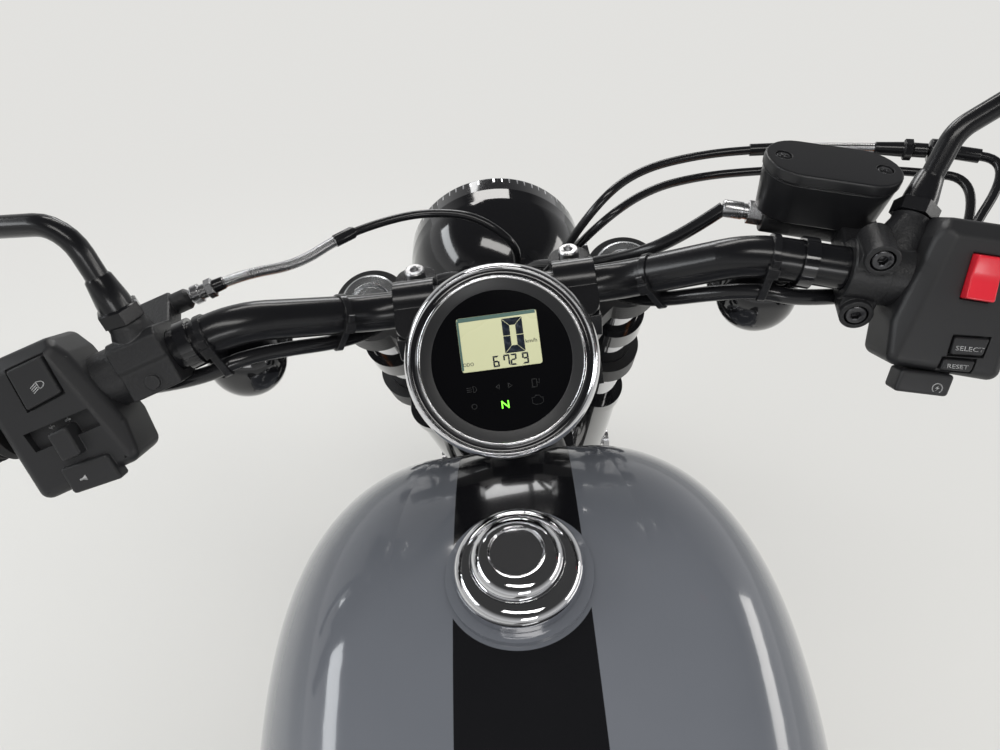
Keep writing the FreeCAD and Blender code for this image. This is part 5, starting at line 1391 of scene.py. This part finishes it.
def makeRisers():
    shape = newShape()
    x, z, fit, side, width = bar["middle"].x, bar["middle"].z, riser["fit"], riser["side"], riser["width"]
    y0, y1 = side - width / 2, side + width / 2
    post = [(1236.4, 898.2), (x + 34.0, z - 16.0), (x + 33.0, z - fit), (x - 33.0, z - fit), (x - 34.0, z - 16.0),
            (1196.2, 875.9)]
    crown = arcPoints((x + 14.0, z + 10.0), (x, z + 19.7), (x - 14.0, z + 11.0), 12)[1:]
    top = [(x + 33.0, z + fit), (x + 33.0, z + 9.0), (x + 14.0, z + 10.0), *crown, (x - 33.0, z + 1.0),
           (x - 33.0, z + fit)]
    bore = rodShape((x, y0 - 9.0, z), (x, y1 + 9.0, z), perches["bore"], 48)
    plan, long = (prism(roundedBox(reach, width, riser["corner"], (x + ahead, side), 6), low, high, flatways)
                  for reach, ahead, low, high in ((68.0, 0.0, z - 17.0, z + 40.0), (140.0, 2.0, z - 100.0, z + 1.0)))
    for turn in (flatways, Matrix.Scale(-1, 4, axisY)):
        addForm(shape, turn, prism(top, y0, y1), 0.0, [bore], plan, soft=1.6)
        addForm(shape, turn, prism(post, y0, y1), 0.0, [bore], long, soft=0.8)
    makeMoulded("riserBlocks", shape, "barBlack", "risers")


signal = {
    "ringY": 187.0, "wall": 2.6, "play": 0.3, "lamp": Vector((1157.0, 171.0, 951.0)), "stalk": 7.0,
    "shell": [(0.5, -30.0), *arcPoints((0.0, -30.0), (18.0, -24.0), (25.0, 0.0), 10)[1:], (26.0, 12.0),
              (26.0, 20.0), (24.6, 20.4)],
    "band": [(26.3, 13.0), (26.9, 13.6), (26.9, 16.4), (26.3, 17.0)],
    "lens": [(25.2, 20.0), (25.0, 21.2), *arcPoints((25.0, 21.2), (17.0, 29.0), (5.0, 32.0), 8)[1:], (0.5, 32.4)],
}


def makeSignals():
    shape, lens = newShape(), newShape()
    inner, outer = bar["radius"] + signal["play"], bar["radius"] + signal["wall"]
    ring = [(inner, -4.0), (outer, -4.0), (outer, 4.0), (inner, 4.0), (inner, -4.0)]
    for side in (1, -1):
        place, top = sided(signal["lamp"], side), sided(barAt(signal["ringY"]), side)
        addTurned(shape, signal["shell"], place, axisX, 48)
        addTurned(shape, signal["band"], place, axisX, 48)
        addTurned(lens, signal["lens"], place, axisX, 48)
        addTurned(shape, ring, top, sided(barOut, side), 40, caps=False)
        stalk = [(signal["stalk"], 0.0), (signal["stalk"], (top - place).length - bar["radius"])]
        addTurned(shape, stalk, place, top - place, 24)
    makePiece("frontSignals", shape, "glossBlack", 40.0, "front_turn_signals")
    makePiece("frontSignalLenses", lens, "amber", 60.0)


grips = {"start": 300.0, "radius": 17.5, "from": 10.0, "pitch": 4.0, "ribs": 24, "high": 0.7, "half": 1.1,
         "sunk": 0.4}


def makeGripRibs():
    shape = newShape()
    low, high, half = grips["radius"] - grips["sunk"], grips["radius"] + grips["high"], grips["half"]
    for side in (1, -1):
        for rib in range(grips["ribs"]):
            at = grips["from"] + rib * grips["pitch"]
            addTurned(shape, [(low, at - half), (high, at - half * 0.5), (high, at + half * 0.5), (low, at + half),
                              (low, at - half)], sided(barAt(grips["start"]), side), sided(barOut, side), 40,
                      caps=False)
    makePiece("gripRibs", shape, "rubber", 30.0)


headlight = {"middle": Vector((1390.0, 0.0, 821.0)), "rim": 81.0}


# A clear dome with a reflector and a bulb cover behind it
def makeHeadlight():
    at, rim = headlight["middle"], headlight["rim"]
    glass, bowl, shield = newShape(), newShape(), newShape()
    dome = arcPoints((rim, 34.5), (rim * 0.6, 43.0), (0.8, 47.6), 14)[1:]
    addTurned(glass, [(rim, 31.0), (rim, 34.5), *dome], at, axisX, 72)
    makePiece("headlampGlass", glass, "clearLens", 60.0, "headlamp_lens")
    dish = arcPoints((rim - 1.0, 30.4), (rim * 0.62, 22.0), (14.0, 19.5), 12)[1:]
    addTurned(bowl, [(rim - 1.0, 26.6), (rim - 1.0, 30.4), *dish, (14.0, 19.1)], at, axisX, 72)
    makePiece("headlampReflector", bowl, "chrome", 60.0)
    addTurned(shield, [(13.0, 18.0), (13.0, 27.0), (11.5, 30.0), (7.0, 31.8), (1.0, 32.2)], at, axisX, 32)
    addTurned(shield, [(rim + 0.6, 30.0), (rim + 0.6, 35.0), (rim + 4.0, 36.2), (rim + 6.6, 35.2), (rim + 7.0, 33.6),
                       (rim + 7.0, 26.0), (rim + 0.6, 26.0), (rim + 0.6, 30.0)], at, axisX, 72, caps=False)
    makePiece("headlampTrim", shield, "chrome", 40.0)


# The looms under the bars, and the ties that hold them

cables = {"radius": 3.0, "hoseRadius": 4.5, "loomRadius": 5.0, "guideReach": 42.0, "guideLow": 790.0,
          "guideHigh": 818.0}
tieSize = {"half": 2.3, "wall": 1.3, "lockHalf": 3.5}
ties = ((177.0, 1), (103.0, 1), (103.0, -1), (168.0, -1))     # distance along the bar and side
under = Vector((-0.35, 0, -0.94))
loomStart = barAt(bar["perch"] - 34.0) + under * 24.0
loomRise = bar["rise"] + under * 21.1
loomBend = Vector((1167.0, 92.0, 942.0))


def hullOf(points):
    points = sorted(points)
    hull = []
    for way in (points, points[::-1]):
        part = []
        for point in way:
            while len(part) > 1 and ((part[-1][0] - part[-2][0]) * (point[1] - part[-2][1])
                                     - (part[-1][1] - part[-2][1]) * (point[0] - part[-2][0])) <= 0:
                part.pop()
            part.append(point)
        hull.extend(part[:-1])
    return hull


def makeTies():
    black = newShape()
    half, wall, lockHalf = tieSize["half"], tieSize["wall"], tieSize["lockHalf"]
    reach = bar["radius"] + wall
    lock = [(-reach - 3.4, -4.0), (-reach + 1.0, -4.0), (-reach + 1.0, 3.4), (-reach - 3.4, 3.4)]
    tail = [(-reach - 2.6, 3.4), (-reach - 1.2, 3.4), (-reach - 1.2, 9.0), (-reach - 2.6, 9.0)]
    for y, side in ties:
        if y > bar["rise"].y:
            middle, along = barAt(y), barOut
            loom = loomStart.lerp(loomRise, (loomStart.y - y) / (loomStart.y - loomRise.y))
        else:
            share = (y - bar["middle"].y) / (bar["rise"].y - bar["middle"].y)
            middle, along = bar["middle"].lerp(bar["rise"], share), (bar["rise"] - bar["middle"]).normalized()
            loom = loomRise.lerp(loomBend, (loomRise.y - y) / (loomRise.y - loomBend.y))
        across = along.cross(axisZ).normalized()
        above = across.cross(along)
        offset = loom - middle
        band = roundPoints((0, 0), reach, 0, 360, 40)[:-1]
        band += roundPoints((offset.dot(across), offset.dot(above)), cables["loomRadius"] + wall, 0, 360, 24)[:-1]
        turn = columnTurn((across, above, along, middle), side)
        for steps, thick in ((hullOf(band), half), (lock, lockHalf), (tail, half)):
            addPrism(black, steps, -thick, thick, turn)
    makePiece("cableTies", black, "casePlastic", 40.0, bevel=0.0003)


def makeScrews():
    silver, dark = newShape(), newShape()
    for side in (1, -1):
        place = bar["middle"] + Vector((riser["bolt"], 0, 4.6))
        place.y = side * riser["side"]
        addSocketHead(silver, place, axisZ, 6.9, 10.8, 2.55, 6.8)
    makePiece("riserScrews", silver, "steel", 40.0)
    spun = barFrame(bar["perch"], -1) @ Matrix.Rotation(-brake["clampTurn"], 4, "X")
    way = spun.to_3x3() @ axisY
    for reach in (-brake["boltReach"], brake["boltReach"]):
        addSocketHead(dark, spun @ Vector((-1.0, 12.6, reach)), way, 6.2, 6.3, 2.5, 2.8)
    level = barFrame(brake["y"], -1, True)
    out = level.to_3x3() @ axisZ
    for reach in (-brake["screwReach"], brake["screwReach"]):
        place = Vector((reach, brake["middle"], brake["top"] - 1.9))
        addTurned(dark, [(4.6, -0.6), (4.6, 0.8), (4.0, 1.5), (0.9, 1.7), (0.9, 0.7)], level @ place, out, 24)
        for turned in (-0.4, -0.4 - math.pi / 2):     # the cross in its head
            slot = level @ Matrix.Translation(place) @ Matrix.Rotation(turned, 4, "Z")
            addPrism(dark, [(2.4, 0.45), (-2.4, 0.45), (-2.4, -0.45), (2.4, -0.45)], 1.2, 1.85, slot)
    makePiece("clampScrews", dark, "darkSteel", 40.0)


# Cables, as smooth splines through the clips and over the clamps

# Points ahead of the fork's axis, to the left and up along it
def forkRun(*steps):
    foot, ahead, above = stance["wheelbase"] + stance["trail"], math.cos(stance["rake"]), math.sin(stance["rake"])
    return [Vector((foot + p * ahead - s * above, y, p * above + s * ahead)) for p, y, s in steps]


# Points ahead of the steering head
def headRun(*steps):
    return [Vector((stance["headX"] + x, y, z)) for x, y, z in steps]


def smoothRoute(points):
    data = bpy.data.curves.new("route", "CURVE")
    data.dimensions = "3D"
    line = data.splines.new("NURBS")
    line.points.add(len(points) - 1)
    for knot, point in zip(line.points, points):
        knot.co = (*point, 1.0)
    line.order_u = 3
    line.use_endpoint_u = True
    line.resolution_u = 10
    return [vertex.co.copy() for vertex in drawnMesh(data).vertices]


throttleTurn = barFrame(bar["housing"], -1)
throttleWay = throttleTurn.to_3x3() @ Vector((0.15, -1.0, 0.35)).normalized()
clutchHorn = barAt(bar["perch"]) + levelBack * perches["adjuster"]


def throttlePort(height, long):
    port = throttleTurn @ Vector((34.0, housing["back"] - 0.3, height))
    return [port, port + throttleWay * long]


def upperRoutes():
    reach, low = cables["guideReach"], cables["guideLow"]
    start = clutchHorn + barOut * (perches["in"] - 26.3)
    clutch = [start, start - barOut * 20.0, *headRun(
        (29, 132, 988), (54, 104, 990), (69, 68, 990), (74, 40, 988), (68, 8, 984), (58, -16, 966), (64, -20, 944)),
        *forkRun((46, -8, 960), (44, 4, 910), (reach, 12, 840), (reach, 12.5, low))]
    upper = throttlePort(8.0, 36.0) + headRun(
        (24, -348, 996), (42, -316, 999), (64, -257, 1000), (78, -200, 1000), (82, -156, 1000), (76, -112, 998),
        (52, -79, 992)) + forkRun(
        (42, -44, 1046), (44, -20, 1000), (44, -16, 910), (reach, -3, 840), (reach, -3.5, low))
    lower = throttlePort(-5.0, 30.0) + headRun(
        (26, -330, 985), (46, -297, 985), (65, -248, 985), (75, -196, 985), (78, -156, 985), (70, -118, 985),
        (45, -80, 980)) + forkRun(
        (50, -50, 1030), (53, -27, 985), (52, -25, 910), (reach + 3, -14, 840), (reach + 2, -14.5, low))
    fitting = Vector((brake["barrelEnd"] - 24.0, brake["barrelY"], -brake["drop"]))
    hose = [barFrame(brake["y"], -1, True) @ fitting, *headRun((12, -132, 984), (18, -100, 966), (61, -64, 934)),
            *forkRun((50, -40, 985), (44, -39, 910), (reach + 1, -30, 840), (reach + 4, -30, 765),
                     (reach + 7, 0, 722), (reach - 5, 62, 706), (14, 92, 690), (14, 100, 590), (-30, 86, 560),
                     (-73, 62, 481))]
    return clutch, upper, lower, hose


def makeCables():
    outer, guide = newShape(), newShape()
    routes = [smoothRoute(points) for points in upperRoutes()]
    for route, radius in zip(routes, (cables["radius"],) * 3 + (cables["hoseRadius"],)):
        addTube(outer, route, radius, 14)
    loom = smoothRoute([barAt(bar["housing"] - 24.0) + Vector((0.42, 0, -0.91)) * 26.0, loomStart, loomRise, loomBend,
                        *headRun((46, 76, 930), (84, 48, 922), (124, 20, 892), (147, 14, 844))])
    for side in (1, -1):
        addTube(outer, [sided(point, side) for point in loom], cables["loomRadius"], 14)
    makePiece("controlCables", outer, "casePlastic", 60.0)
    out, high = cables["guideReach"] + 11.0, cables["guideHigh"]
    hoop = forkRun((6.0, -40.0, high), (out, -40.0, high), (out, 22.0, high), (6.0, 22.0, high))
    addTube(guide, roundedRoute(hoop, 8.0), 2.5, 12)
    makePiece("cableGuide", guide, "satinBlack", 60.0)
    makeLowerCables()
    makeCableEnds(*routes[:2])


def makeLowerCables():
    shape = newShape()
    reach, below = cables["guideReach"], cables["guideLow"] - 1.0
    routes = [forkRun((reach, 12, below), (reach, 13, below - 45)) + headRun(
        (174, 15, 630), (120, 18, 643), (45, 26, 632), (-5, 52, 470), (-42, 90, 350), (-120, 94, 336),
        (-219.2, 98, 330))]
    for offset in (0.0, 11.0):
        out = reach + offset / 4
        routes.append(forkRun((out, -3 - offset, below), (out, -4 - offset, below - 45)) + headRun(
            (174, -6 - offset, 636), (122, -8 - offset, 652), (30, -14 - offset, 665), (-210, -18 - offset, 665),
            (-296, -30 - offset, 642), (-316, -38 - offset, 586.3)))
    for points in routes:
        addTube(shape, smoothRoute(points), cables["radius"], 12)
    makePiece("lowerCables", shape, "casePlastic", 60.0, body="frame")


# Where each sleeve starts along its cable, its profile and its sides
clutchCollars = (
    (91.0, [(3.1, -2.0), (4.4, -2.0), (4.4, 12.0), (3.4, 14.0), (3.1, 14.0)], 24),
    (0.5, [(3.1, 0.0), (4.6, 0.0), (4.2, 7.0), (3.1, 7.0)], 24),
)
throttleCollars = (
    (236.0, [(3.1, -2.0), (4.2, -2.0), (4.2, 22.0), (3.1, 22.0)], 24),
    (112.0, [(3.1, 0.0), (4.6, 0.0), (4.6, 22.0), (3.1, 22.0)], 24),
    (134.0, [(7.0, 0.0), (8.0, 0.8), (8.0, 8.0), (7.0, 8.8)], 20),
    (144.0, [(4.8, 0.0), (4.8, 8.0), (4.2, 8.6)], 24),
    (153.0, [(7.0, 0.0), (7.0, 4.6), (6.0, 5.4)], 6),
    (158.0, [(3.1, 0.0), (5.0, 0.0), (4.2, 18.0), (3.1, 18.0)], 24),
)


# Springs, sleeves and adjusters on the clutch cable and the upper throttle cable
def makeCableEnds(clutch, throttle):
    coil, sleeves = newShape(), newShape()
    for route, start, end, radius, ridge in ((clutch, 6.0, 92.0, 3.3, 0.5), (throttle, 176.0, 236.0, 3.2, 0.4)):
        addTube(coil, partOf(route, start, end, 0.8), radius, 12, ridge)
    horn = clutchHorn + barOut * (perches["in"] + 2.0)
    addTurned(coil, [(4.8, 12.6), (4.8, 14.0), (6.4, 14.4), (6.4, 19.4), (4.9, 19.8), (4.9, 24.0)], horn, -barOut, 24)
    addTurned(coil, [(6.6, 24.0), (6.6, 28.6), (5.0, 29.4), (3.2, 29.4)], horn, -barOut, 6)
    makePiece("cableCoils", coil, "steel", 50.0)
    for route, collars in ((clutch, clutchCollars), (throttle, throttleCollars)):
        for collar in collars:
            addCollar(sleeves, route, *collar)
    makePiece("cableCollars", sleeves, "casePlastic", 40.0)


makeCamera()
makeStudio()
makeLamps()
print("camera, studio and lamps made")
finishes = makeMaterials()
dressNodes()
print("materials made:", len(finishes))
for tyreName in tyres:
    makeTyre(tyreName)
print("tyres made")
for seatName in seats:
    makeSeat(seatName)
print("seats made")
makeGauge()
makeHousings()
makeSwitchMarks()
makeClutchPerch()
makeBrakeCylinder()
makeMirrors()
makeRisers()
makeSignals()
makeGripRibs()
makeHeadlight()
makeTies()
makeScrews()
makeCables()
print("gauge, marks and small fittings made")
